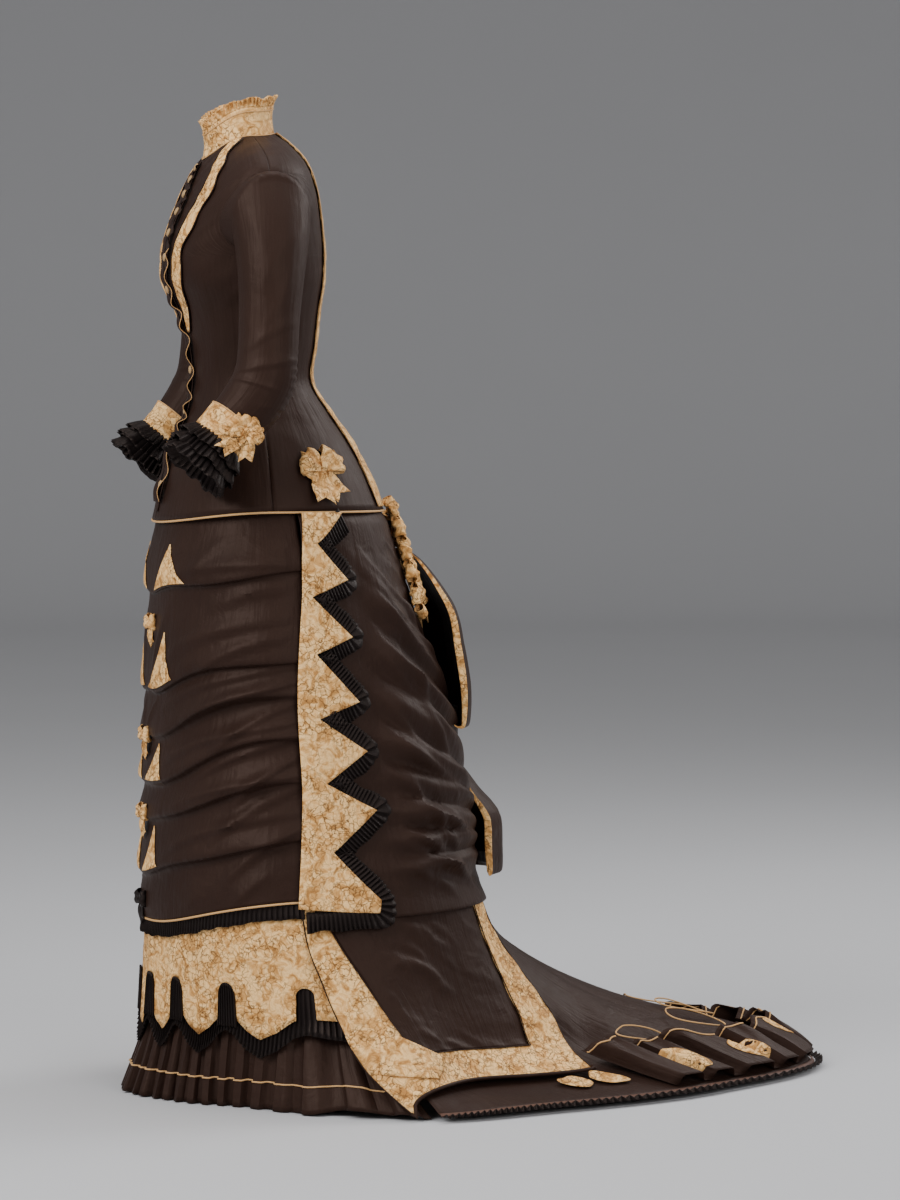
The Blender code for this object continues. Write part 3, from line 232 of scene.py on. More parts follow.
class Recipe:
    # one material: add() makes any node from its settings and inputs
    def __init__(self, name):
        self.material = bpy.data.materials.new(name)
        self.material.use_nodes = True
        self.tree = self.material.node_tree
        self.shader = self.tree.nodes["Principled BSDF"]
        place = self.tree.nodes.new("ShaderNodeTexCoord")
        self.object, self.cloth = place.outputs["Object"], place.outputs["UV"]

    def put(self, socket, value):
        if isinstance(value, Value):
            value = value.socket
        if isinstance(value, bpy.types.NodeSocket):
            self.tree.links.new(value, socket)
        else:
            socket.default_value = value

    def add(self, kind, settings, inputs):
        node = self.tree.nodes.new(kind)
        for key, value in settings.items():
            if key == "stops":
                ramp = node.color_ramp.elements
                while len(ramp) < len(value):
                    ramp.new(0.5)
                for stop, (position, shade) in zip(ramp, value):
                    stop.position, stop.color = position, (*shade, 1)
            else:
                setattr(node, key, value)
        for key, value in inputs.items():
            self.put(node.inputs[key], value)
        return node

    def stretched(self, coordinates, scale):
        return self.add("ShaderNodeMapping", {}, {"Vector": coordinates, "Scale": scale}).outputs[0]

    def noise(self, coordinates, scale, detail=3.0, roughness=0.5, distortion=0.0, kind="FBM"):
        node = self.add("ShaderNodeTexNoise", {"noise_type": kind, "normalize": True}, {
            "Vector": coordinates, "Scale": scale, "Detail": detail, "Roughness": roughness,
            "Distortion": distortion})
        return Value(self, node.outputs[0])

    def ramp(self, value, *stops):
        return self.add("ShaderNodeValToRGB", {"stops": stops}, {"Fac": value}).outputs[0]

    def blend(self, share, first, second):
        node = self.add("ShaderNodeMix", {"data_type": "RGBA"}, {0: share, 6: first, 7: second})
        return node.outputs[2]

    def bump(self, heights, distance, strength=1.0, under=None):
        node = self.add("ShaderNodeBump", {}, {"Height": heights, "Distance": distance, "Strength": strength})
        if under is not None:
            self.put(node.inputs["Normal"], under)
        return node.outputs[0]

    def finish(self, **inputs):
        for key, value in inputs.items():
            self.put(self.shader.inputs[key.replace("_", " ")], value)
        return self.material


silkLook = {
    "dark": (0.0125, 0.0060, 0.0045), "light": (0.0290, 0.0146, 0.0108),
    "roughness": 0.50, "sheen": 0.03, "gloss": 0.17, "crumple": 0.0016, "ribs": 2400.0,
}


def silk(name, dark, light, crumple=1.0, roughness=None):
    # taffeta: a slow change of tone, a crumpled bump and fine ribs across the cloth
    look = silkLook
    mix = Recipe(name)
    slow = mix.noise(mix.object, 7.0, 3.0, 0.55)
    fine = mix.noise(mix.object, 420.0, 2.0)
    tone = mix.blend(slow * 0.75 + fine * 0.25, (*dark, 1), (*light, 1))
    soft = mix.noise(mix.object, 30.0, 4.0, 0.55, 0.5)
    sharp = mix.noise(mix.object, 48.0, 3.0, 0.55, 0.3, "RIDGED_MULTIFRACTAL")
    creased = mix.bump(soft * 0.6 + sharp * 0.20, look["crumple"] * 4 * crumple, 0.5)
    pressed = mix.noise(mix.stretched(mix.cloth, (75.0, 8.0, 1.0)), 1.0, 3.0, 0.6, 0.3)
    creased = mix.bump(pressed, 0.0032, 0.5, creased)
    ribs = mix.noise(mix.stretched(mix.cloth, (160.0, look["ribs"], 1.0)), 1.0, 1.0)
    normal = mix.bump(ribs, 0.00012, 0.8, creased)
    rough = (look["roughness"] if roughness is None else roughness) - 0.05 + 0.12 * mix.noise(mix.object, 60.0, 2.0)
    return mix.finish(Base_Color=tone, Roughness=rough, Normal=normal, Sheen_Weight=look["sheen"],
                      Sheen_Roughness=0.4, Sheen_Tint=(0.62, 0.40, 0.30, 1), Specular_IOR_Level=look["gloss"],
                      Specular_Tint=(1.0, 0.74, 0.62, 1))


brocadeLook = {
    "ground": (0.68, 0.365, 0.125), "pale": (0.94, 0.60, 0.260), "deep": (0.42, 0.195, 0.055),
    "vein": (0.105, 0.043, 0.013), "cells": 105.0, "warp": 0.024, "line": 0.050,
}


def brocade(name):
    # a mottled gold ground with paler flecks and thin brown veins, slightly raised
    look = brocadeLook
    mix = Recipe(name)
    mottle = mix.noise(mix.object, 58.0, 5.0, 0.62, 1.1)
    ground = mix.ramp(mottle, (0.36, look["deep"]), (0.47, look["ground"]), (0.57, look["pale"]),
                      (0.70, look["ground"]))
    # the veins are the edges of warped cells, drawn only in patches
    push = mix.add("ShaderNodeTexNoise", {}, {"Vector": mix.object, "Scale": 60.0, "Detail": 4.0}).outputs[1]
    warped = mix.add("ShaderNodeVectorMath", {"operation": "MULTIPLY_ADD"},
                     {0: push, 1: (look["warp"],) * 3, 2: mix.object}).outputs[0]
    edge = mix.add("ShaderNodeTexVoronoi", {"feature": "DISTANCE_TO_EDGE"}, {"Vector": warped, "Scale": look["cells"]})
    line = mix.ramp(edge.outputs[0], (0.0, (1, 1, 1)), (look["line"], (0.45, 0.45, 0.45)),
                    (2 * look["line"], (0, 0, 0)))
    patchy = mix.ramp(mix.noise(mix.object, 24.0, 3.0), (0.36, (0.12, 0.12, 0.12)), (0.54, (1, 1, 1)))
    tone = mix.blend(Value(mix, line) * Value(mix, patchy), ground, (*look["vein"], 1))
    threads = mix.noise(mix.stretched(mix.object, (2100.0, 2100.0, 900.0)), 1.0, 1.0)
    waves = mix.bump(mix.noise(mix.object, 30.0, 3.0, 0.5, 0.8), 0.010, 0.6)
    normal = mix.bump(mottle * 0.7 + threads * 0.3, 0.0006, 0.6, waves)
    return mix.finish(Base_Color=tone, Roughness=0.50 + 0.22 * mottle, Normal=normal, Sheen_Weight=0.03,
                      Sheen_Roughness=0.4, Sheen_Tint=(1.0, 0.75, 0.4, 1), Specular_IOR_Level=0.16,
                      Specular_Tint=(1.0, 0.86, 0.66, 1))


def plain(name, colour, roughness, grain=900.0):
    # a small trim: fine mottling and a fine thread bump
    mix = Recipe(name)
    speck = mix.noise(mix.object, grain, 2.0)
    tone = mix.blend(speck, (*(c * 0.75 for c in colour), 1), (*(c * 1.25 for c in colour), 1))
    return mix.finish(Base_Color=tone, Roughness=roughness + 0.1 * speck, Normal=mix.bump(speck, 0.0003, 0.5),
                      Sheen_Weight=0.04, Sheen_Roughness=0.4, Specular_IOR_Level=0.35)


brownSilk = silk("brown_taffeta", silkLook["dark"], silkLook["light"])
brownCalm = silk("brown_taffeta_smooth", silkLook["dark"], silkLook["light"], 0.35)
blackSilk = silk("black_silk", (0.0052, 0.0040, 0.0042), (0.0125, 0.0098, 0.0098), 0.3, 0.45)
tanBrocade = brocade("tan_brocade")
tanPiping = plain("tan_piping", (0.56, 0.32, 0.128), 0.5)
rustCloth = plain("rust_binding", (0.085, 0.034, 0.019), 0.5)
buttonGilt = plain("button_thread", (0.38, 0.24, 0.11), 0.42)
print("materials are ready")


# making pieces

flatSizes = {}


def clothLengths(points):
    # how long the cloth is along each row and down each column, pleats opened out
    wide = np.linalg.norm(np.diff(points, axis=1), axis=2).sum(1).max()
    long = np.linalg.norm(np.diff(points, axis=0), axis=2).sum(0).max()
    return wide, long


def patchArea(points):
    d1 = points[1:, 1:] - points[:-1, :-1]
    d2 = points[1:, :-1] - points[:-1, 1:]
    return 0.5 * np.linalg.norm(np.cross(d1, d2), axis=2).sum()


def joinedMesh(name, grids, closed=False, creaseAngle=50.0):
    # each grid of points becomes quads with a UV map in metres of cloth; closed joins its last column to the first
    points, faces, maps, start = [], [], [], 0
    for grid in grids:
        grid = np.asarray(grid, float)
        rows, columns = grid.shape[:2]
        if closed:
            grid = np.concatenate([grid, grid[:, :1]], 1)
            columns += 1
        u = np.concatenate([np.zeros((rows, 1)), np.cumsum(np.linalg.norm(np.diff(grid, axis=1), axis=2), 1)], 1)
        v = np.concatenate([np.zeros((1, columns)), np.cumsum(np.linalg.norm(np.diff(grid, axis=0), axis=2), 0)], 0)
        u = np.broadcast_to(u.mean(0), u.shape)
        v = np.broadcast_to(v.mean(1)[:, None], v.shape)
        index = np.arange(rows * columns).reshape(rows, columns)
        corners = np.stack([index[:-1, :-1], index[:-1, 1:], index[1:, 1:], index[1:, :-1]], -1).reshape(-1, 4)
        if closed:
            real = np.arange(rows * (columns - 1)).reshape(rows, columns - 1)
            real = np.concatenate([real, real[:, :1]], 1).reshape(-1)
            faces.append(real[corners] + start)
            points.append(grid[:, :-1].reshape(-1, 3))
            start += rows * (columns - 1)
        else:
            faces.append(corners + start)
            points.append(grid.reshape(-1, 3))
            start += rows * columns
        maps.append(np.stack([u.reshape(-1)[corners], v.reshape(-1)[corners]], -1).reshape(-1, 2))
    points, faces, maps = np.concatenate(points), np.concatenate(faces), np.concatenate(maps)
    points = points - np.array([0, 0, holdHeight])
    mesh = bpy.data.meshes.new(name)
    mesh.from_pydata(points.tolist(), [], faces.tolist())
    mesh.uv_layers.new(name="cloth").data.foreach_set("uv", maps.astype(np.float32).reshape(-1))
    mesh.shade_smooth()
    if creaseAngle:
        mesh.set_sharp_from_angle(angle=np.radians(creaseAngle))
    return mesh


def facingOut(mesh, centre=None):
    # turns the whole mesh round if most of it faces its own middle, or the upright line through centre
    count = len(mesh.polygons)
    middle, normal, area = np.empty(count * 3), np.empty(count * 3), np.empty(count)
    mesh.polygons.foreach_get("center", middle)
    mesh.polygons.foreach_get("normal", normal)
    mesh.polygons.foreach_get("area", area)
    away = middle.reshape(-1, 3) - np.array([0, 0, 0] if centre is None else centre)
    if centre is None:
        away[:, 2] = 0
    if ((away * normal.reshape(-1, 3)).sum(1) * area).sum() < 0:
        mesh.flip_normals()


def keep(obj, nodes):
    bpy.context.scene.collection.objects.link(obj)
    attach(obj, "root")
    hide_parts(*nodes)
    return obj


def cloth(name, grids, material, nodes, wall=0.0009, closed=False, inner=None,
          centre=None, middle=False, creaseAngle=50.0, cut=None):
    # a thin shell of cloth: grids of points, thickened inwards, with its flat cut kept in flatSizes. The cut is worked
    # out from the longest row and column, unless a toothed or hollowed edge would make that too long
    grids = [grids] if isinstance(grids, np.ndarray) else list(grids)
    mesh = joinedMesh(name, grids, closed, creaseAngle)
    facingOut(mesh, centre)
    obj = bpy.data.objects.new(name, mesh)
    mesh.materials.append(material)
    keep(obj, nodes)
    thick = obj.modifiers.new("thickness", "SOLIDIFY")
    thick.thickness, thick.offset, thick.use_quality_normals = wall, 0.0 if middle else -1.0, False
    if inner is not None:
        mesh.materials.append(inner)
        thick.material_offset = 1
    whole = [np.concatenate([g, g[:, :1]], 1) if closed else g for g in grids]
    wide, long = np.max([clothLengths(g) for g in whole], axis=0) if cut is None else cut
    area = sum(patchArea(g) for g in whole)
    length = max(long, area / wide)
    min(max(area, 0.301 * wide * length), wide * length)
    flatSizes[name] = (wide, length, area)
    return obj


def cordAlong(path, radius, around=8, closed=False):
    # a round cord: a ring of points at every point of the path, square to it
    path = np.asarray(path, float)
    ahead = np.gradient(path, axis=0)
    if closed:
        ahead = np.roll(path, -1, 0) - np.roll(path, 1, 0)
    ahead /= np.linalg.norm(ahead, axis=1, keepdims=True)
    across = np.cross(ahead, [0.013, 0.021, 1.0])
    across /= np.linalg.norm(across, axis=1, keepdims=True)
    up = np.cross(across, ahead)
    turn = np.linspace(0, 2 * np.pi, around, endpoint=False)
    radius = np.broadcast_to(radius, len(path))[:, None, None]
    rings = path[:, None] + radius * (np.cos(turn)[:, None] * across[:, None] + np.sin(turn)[:, None] * up[:, None])
    if closed:
        return np.concatenate([rings, rings[:1]])
    ends = [np.broadcast_to(path[k], rings[0].shape)[None] for k in (0, -1)]
    return np.concatenate([ends[0], rings, ends[1]])


def trim(name, tubes, material, nodes=()):
    # small solid trim, such as piping and buttons, made of closed rings
    mesh = joinedMesh(name, tubes, True, 0)
    obj = bpy.data.objects.new(name, mesh)
    work = bmesh.new()
    work.from_mesh(mesh)
    bmesh.ops.remove_doubles(work, verts=work.verts, dist=0.00002)
    bmesh.ops.recalc_face_normals(work, faces=work.faces)
    work.to_mesh(mesh)
    work.free()
    mesh.materials.append(material)
    return keep(obj, nodes)


# bodice

bodice = {
    "wall": 0.0010, "edgeGap": 0.12, "armholeLevel": 5.55, "armholeHalfLevels": 1.5, "armholeHalfAngle": 36.0,
    "rows": 96, "columns": 46, "pipingRadius": 0.0016,
}
# darts and seams. Columns: angle and level at the top, angle and level at the bottom, bow, height, half width
frontSeams = [
    [30, 7.9, 19, 14.9, 0.004, -0.0012, 0.0026], [46, 8.2, 36, 14.9, 0.004, -0.0012, 0.0026],
    [66, 7.4, 62, 14.9, 0.003, -0.0010, 0.0026],
]
backSeams = [
    [128, 5.4, 160, 9.5, -0.012, -0.0011, 0.0026], [160, 9.5, 156, 14.9, 0.0, -0.0011, 0.0026],
    [112, 7.2, 132, 10.5, -0.006, -0.0010, 0.0024], [132, 10.5, 126, 14.9, 0.0, -0.0010, 0.0024],
]
# strain folds of the bodice, with the same columns
bodiceFolds = [
    [88, 10.6, 40, 11.4, 0.004, 0.0013, 0.006], [90, 11.3, 52, 11.9, -0.003, 0.0012, 0.006],
    [84, 7.6, 52, 8.9, 0.004, 0.0014, 0.008], [88, 8.4, 60, 9.9, 0.003, 0.0011, 0.007],
    [92, 11.0, 140, 11.5, 0.004, 0.0013, 0.006], [94, 11.9, 132, 12.4, 0.002, 0.0010, 0.006],
    [96, 8.0, 124, 9.4, -0.004, 0.0014, 0.008], [98, 12.6, 118, 14.2, 0.004, 0.0010, 0.010],
    [60, 12.4, 76, 14.4, 0.003, 0.0012, 0.010], [24, 12.0, 34, 14.2, 0.002, 0.0008, 0.008],
    [70, 3.6, 58, 5.2, 0.003, 0.0012, 0.009], [112, 3.8, 126, 5.6, 0.003, 0.0012, 0.009],
    [50, 5.4, 30, 6.2, 0.002, 0.0008, 0.009],
]


def armholeCut(level):
    inside = 1 - ((level - bodice["armholeLevel"]) / bodice["armholeHalfLevels"]) ** 2
    return bodice["armholeHalfAngle"] * np.sqrt(np.maximum(inside, 0))


def bodiceLift(angle, level, side):
    # seams dip, strain folds rise, and the wearer's right side has folds of a slightly different size
    lift = creases(angle, level, frontSeams + backSeams, 0.0023, 0.045)
    folds = np.array(bodiceFolds) * np.array([1, 1, 1, 1, 1, 1.0 if side > 0 else 0.8, 1])
    return lift + creases(angle, level, folds, 0.0023, 0.045) + 0.0003 * wander(angle / 30 + level * side, 3)


def makeBodice():
    look, gap = bodice, bodice["edgeGap"]
    level = np.linspace(0, 15, look["rows"])
    # rows sit closer round the top and bottom of the armhole, where its outline turns fast
    marks = look["armholeLevel"] + look["armholeHalfLevels"] * np.cos(np.linspace(0, np.pi, 26))
    level = np.unique(np.concatenate([level, marks]))[:, None]
    across = np.linspace(0, 1, look["columns"])[None, :]
    for side, which in sides:
        front = gap + across * (90 - armholeCut(level) - 2 * gap)
        back = 180 - gap - across * (180 - (90 + armholeCut(level)) - 2 * gap)
        for half, angle in (("front", front), ("back", back)):
            points = flipped(onForm(torso, angle, level, bodiceLift(angle, level, side)), side)
            cloth(f"bodice_{half}_{which}_silk", points, brownCalm, [f"bodice_{half}_{which}"],
                  look["wall"],
                  cut=(clothLengths(points)[0], clothLengths(points[:, :2])[1]))
    around = np.linspace(0, 360, 240, endpoint=False)
    hem = onForm(torso, around, 15.0, -0.0005) - np.array([0, 0, look["pipingRadius"] + 0.0002])
    trim("bodice_hem_cord", [cordAlong(hem, look["pipingRadius"], closed=True)], tanPiping,
         ["bodice_hem_piping"])
    print("bodice panels, darts and hem cord")


bodiceTrims = {
    "lift": 0.0024, "wall": 0.0011, "bandLift": 0.0028, "cord": 0.0009, "reversWaves": 5.5, "reversWave": 1.1,
    "standHalfAngle": 2.7, "buttons": 12, "buttonSize": 0.0062, "frillWaves": 17, "frillDepth": 0.0046,
}
# half width of the back band in degrees. Columns: level, half width
backBand = np.array([[0.0, 15.0], [1.5, 22.0], [3.0, 28.0], [5.0, 30.0], [15.0, 30.0]])
# columns: level, middle angle, half width in degrees
reversTable = np.array([
    [0.35, 66, 10], [1.5, 50, 8], [2.8, 41, 7], [4.0, 34, 7], [5.5, 26, 6.5], [7.0, 21, 6], [8.2, 20, 6],
    [9.0, 15, 5], [9.6, 9.5, 2.5],
])


def makeBodiceTrims():
    look = bodiceTrims
    level = np.linspace(0.1, 14.93, 130)[:, None]
    half = np.interp(level, backBand[:, 0], backBand[:, 1]) - 0.2 + 0.3 * wander(level / 1.6, 14) * (level > 1)
    angle = 180 + half * np.linspace(-1, 1, 25)[None, :]
    rise = look["bandLift"] + 0.0005 * wander(level * 1.7 + angle / 30, 11) * np.ones_like(angle)
    cloth("back_band_brocade", onForm(torso, angle, level, rise), tanBrocade, ["bodice_back_band"],
          look["wall"])
    edges = [onForm(torso, angle[:, k], level[:, 0], look["bandLift"] + 0.0004) for k in (0, -1)]
    trim("back_band_cords", [cordAlong(e, look["cord"], 6) for e in edges], tanPiping)
    level = np.linspace(reversTable[0, 0], reversTable[-1, 0], 120)
    middle, half = splineAt(reversTable[:, 0], reversTable[:, 1:], level).T
    wave = look["reversWave"] * np.sin(2 * np.pi * look["reversWaves"] * np.linspace(0, 1, len(level)))
    across = np.linspace(-1, 1, 13)[None, :]
    angle = middle[:, None] + half[:, None] * across + wave[:, None] * ease(across, 0.1, 1.0)
    for side, which in sides:
        rise = look["lift"] + 0.0012 * (1 - across ** 2) + 0.0005 * wander(level[:, None] * 2 + across, 5 + side)
        points = flipped(onForm(torso, angle, level[:, None], rise), side)
        cloth(f"revers_{which}_brocade", points, tanBrocade, [f"revers_{which}"],
              look["wall"])
        edge = flipped(onForm(torso, angle[:, -1] + 0.25, level, look["lift"]), side)
        inner = flipped(onForm(torso, angle[:, 0] - 1.6, level, look["lift"] - 0.0006), side)
        trim(f"revers_{which}_cords", [cordAlong(edge, 0.0011, 6), cordAlong(inner, 0.0010, 6)], brownSilk)
    print("revers and back band")


def makeFrontClosing():
    look = bodiceTrims
    level = np.linspace(0.3, 14.8, 200)[:, None]
    across = np.linspace(-1, 1, 9)[None, :]
    rise = look["lift"] + 0.0005 * np.cos(across * 3) + 0.0003 * wander(level * 2, 8) * np.ones_like(across)
    points = onForm(torso, look["standHalfAngle"] * across, level, rise)
    cloth("button_stand_silk", points, brownCalm, ["button_stand"],
          look["wall"])
    # buttons are flat domes: rings that shrink to the middle of each face
    places = np.linspace(1.0, 14.2, look["buttons"])
    centre = onForm(torso, np.zeros_like(places), places, look["lift"] + 0.0002)
    out = outwards(torso, np.zeros_like(places), places)
    profile = np.array([[0.0, 0.0], [0.9, 0.0], [1.0, 0.22], [0.9, 0.42], [0.6, 0.58], [0.0, 0.62]])
    turn = np.linspace(0, 2 * np.pi, 16, endpoint=False)
    domes = []
    for place, normal in zip(centre, out):
        sideways = np.array([1.0, 0, 0])
        up = np.cross(normal, sideways)
        ring = np.cos(turn)[:, None] * sideways + np.sin(turn)[:, None] * up
        domes.append(place + look["buttonSize"] * (profile[:, :1, None] * ring[None] + profile[:, 1:, None] * normal))
    trim("bodice_buttons", domes, buttonGilt)
    # the ruched frill waves in and out along its free edge
    level = np.linspace(0.5, 14.6, 16 * look["frillWaves"])[:, None]
    across = np.linspace(0, 1, 9)[None, :]
    turn = level * look["frillWaves"] * 2 * np.pi / 14.1 + 1.4 * wander(level / 3, 4)
    full = 0.45 + 0.55 * ease(level, 7.2, 9.0)
    angle = 3.2 + (5.2 + 0.8 * np.cos(turn)) * across
    rise = look["lift"] + 0.0008 + (0.0048 + look["frillDepth"] * np.sin(turn)) * full * across ** 1.3
    for side, which, node in ((1, "left", ["front_edge_frill"]), (-1, "right", [])):
        share = 1.0 if side > 0 else 0.55
        points = flipped(onForm(torso, angle, level, (rise - look["lift"]) * share + look["lift"]), side)
        cloth(f"front_frill_{which}_silk", points, brownSilk, node,
              0.0006, middle=True)
        if side > 0:
            edge = points[level[:, 0] > 6.6, -1]
            trim("front_frill_cord", [cordAlong(edge, 0.0006, 6)], tanPiping)
    print("front closing")


collar = {"height": 0.040, "opening": 2.5, "wall": 0.0012, "frillPleats": 58, "frillHeight": 0.013, "frillWave": 0.0030}


def neckRing(angle):
    # the neckline, and the level direction away from the neck at each of its points
    ring = torso(angle, 0.0)
    out = ring * np.array([1, 1, 0])
    return ring, out / np.linalg.norm(out, axis=1, keepdims=True)


def makeCollar():
    look = collar
    angle = np.linspace(look["opening"], 360 - look["opening"], 180)
    ring, out = neckRing(angle)
    up = np.linspace(0, 1, 15)[:, None]
    lean = -0.0020 * np.sin(np.pi * up) - 0.0010 * up + 0.0005 * wander(angle[None] / 40 + up, 2)
    points = ring + out * lean[..., None] + np.array([0, 0, 1.0]) * (0.0004 + look["height"] * up)[..., None]
    cloth("collar_brocade", points, tanBrocade, ["collar_band"],
          look["wall"])
    cords = [points[k] + out * 0.0004 for k in (0, 12)]
    trim("collar_cords", [cordAlong(c, 0.0009, 6) for c in cords], tanPiping)
    angle = np.linspace(look["opening"], 360 - look["opening"], 6 * look["frillPleats"])
    ring, out = neckRing(angle)
    wave = np.sin(np.arange(len(angle)) * np.pi / 3 + 0.6 * wander(angle / 25, 6))
    up = np.linspace(0, 1, 8)[:, None]
    spread = -0.001 + 0.004 * up ** 1.5 + look["frillWave"] * wave * (0.15 + 0.85 * up)
    rise = look["height"] + 0.0008 + look["frillHeight"] * up * (1 + 0.08 * wander(angle[None] / 14, 9))
    points = ring + out * spread[..., None] + np.array([0, 0, 1.0]) * rise[..., None]
    cloth("collar_frill_brocade", points, tanBrocade, ["collar_frill"],
          0.0005, middle=True)
    print("collar")


# sleeves

sleeve = {"wall": 0.0010, "around": 80, "rows": 116, "gathers": 0.0013, "seam": 166.0, "cuffLift": 0.0024,
          "cuffPast": 0.008, "pleats": 36, "pleatDepth": 0.0030}
sleeveRings = np.array([
    # x, y, height of the centre, lean, bend, half size front to back, half size in to out
    [0.1790, 0.000, 1.243, 20, 0, 0.0560, 0.0585],
    [0.1900, -0.001, 1.200, 38, 0, 0.0510, 0.0540],
    [0.1980, -0.004, 1.155, 58, 0, 0.0460, 0.0480],
    [0.2030, -0.008, 1.105, 74, 3, 0.0425, 0.0440],
    [0.2070, -0.011, 1.060, 84, 8, 0.0420, 0.0425],
    [0.2090, -0.016, 1.022, 90, 20, 0.0435, 0.0420],
    [0.2075, -0.031, 0.993, 90, 36, 0.0430, 0.0410],
    [0.2020, -0.053, 0.965, 88, 41, 0.0400, 0.0385],
    [0.1950, -0.078, 0.938, 86, 42, 0.0360, 0.0350],
])
# folds of the sleeve. Columns: turn and ring at each end (turn 0 is the front), bow, height, half width
sleeveFolds = [
    [20, 5.2, 150, 4.2, 0.006, 0.0021, 0.0075], [350, 5.0, 230, 4.3, -0.006, 0.0020, 0.0070],
    [10, 5.9, 120, 5.3, 0.004, 0.0018, 0.0060], [340, 6.0, 250, 5.1, -0.004, 0.0018, 0.0060],
    [30, 4.2, 140, 3.2, 0.004, 0.0016, 0.0080], [300, 3.6, 220, 2.4, 0.004, 0.0015, 0.0090],
    [60, 2.6, 130, 1.2, 0.005, 0.0016, 0.0100], [120, 1.9, 70, 3.4, 0.005, 0.0013, 0.0085],
    [90, 6.4, 170, 5.6, 0.003, 0.0015, 0.0055], [160, 7.2, 60, 6.6, 0.003, 0.0012, 0.0060],
    [200, 1.5, 190, 3.5, 0.004, 0.0013, 0.0080], [40, 0.6, 70, 2.0, 0.003, 0.0012, 0.0090],
    [140, 0.5, 110, 1.9, 0.003, 0.0012, 0.0090],
]


def armAxes(lean, bend):
    # directions down the arm, to its front and to its outside, from the lean of the arm and bend of the elbow
    lean, bend = np.radians(lean), np.radians(bend)
    zero, one = np.zeros_like(lean), np.ones_like(lean)
    down = np.stack([np.cos(lean), zero, -np.sin(lean)], -1)
    forward = np.stack([zero, -one, zero], -1)
    outward = np.stack([np.sin(lean), zero, np.cos(lean)], -1)
    cosine, sine = np.cos(bend)[..., None], np.sin(bend)[..., None]
    return down * cosine + forward * sine, forward * cosine - down * sine, outward


def armSurface(turn, ring, lift, past=0.0):
    # an ellipse round the arm's line; past carries it on straight beyond the wrist
    row = splineAt(np.arange(9), sleeveRings, np.minimum(ring, 8))
    axis, forward, outward = armAxes(row[..., 3], row[..., 4])
    centre = row[..., :3] + axis * np.asarray(past)[..., None]
    return (centre + ((row[..., 5] + lift) * np.cos(turn))[..., None] * forward
            + ((row[..., 6] + lift) * np.sin(turn))[..., None] * outward)


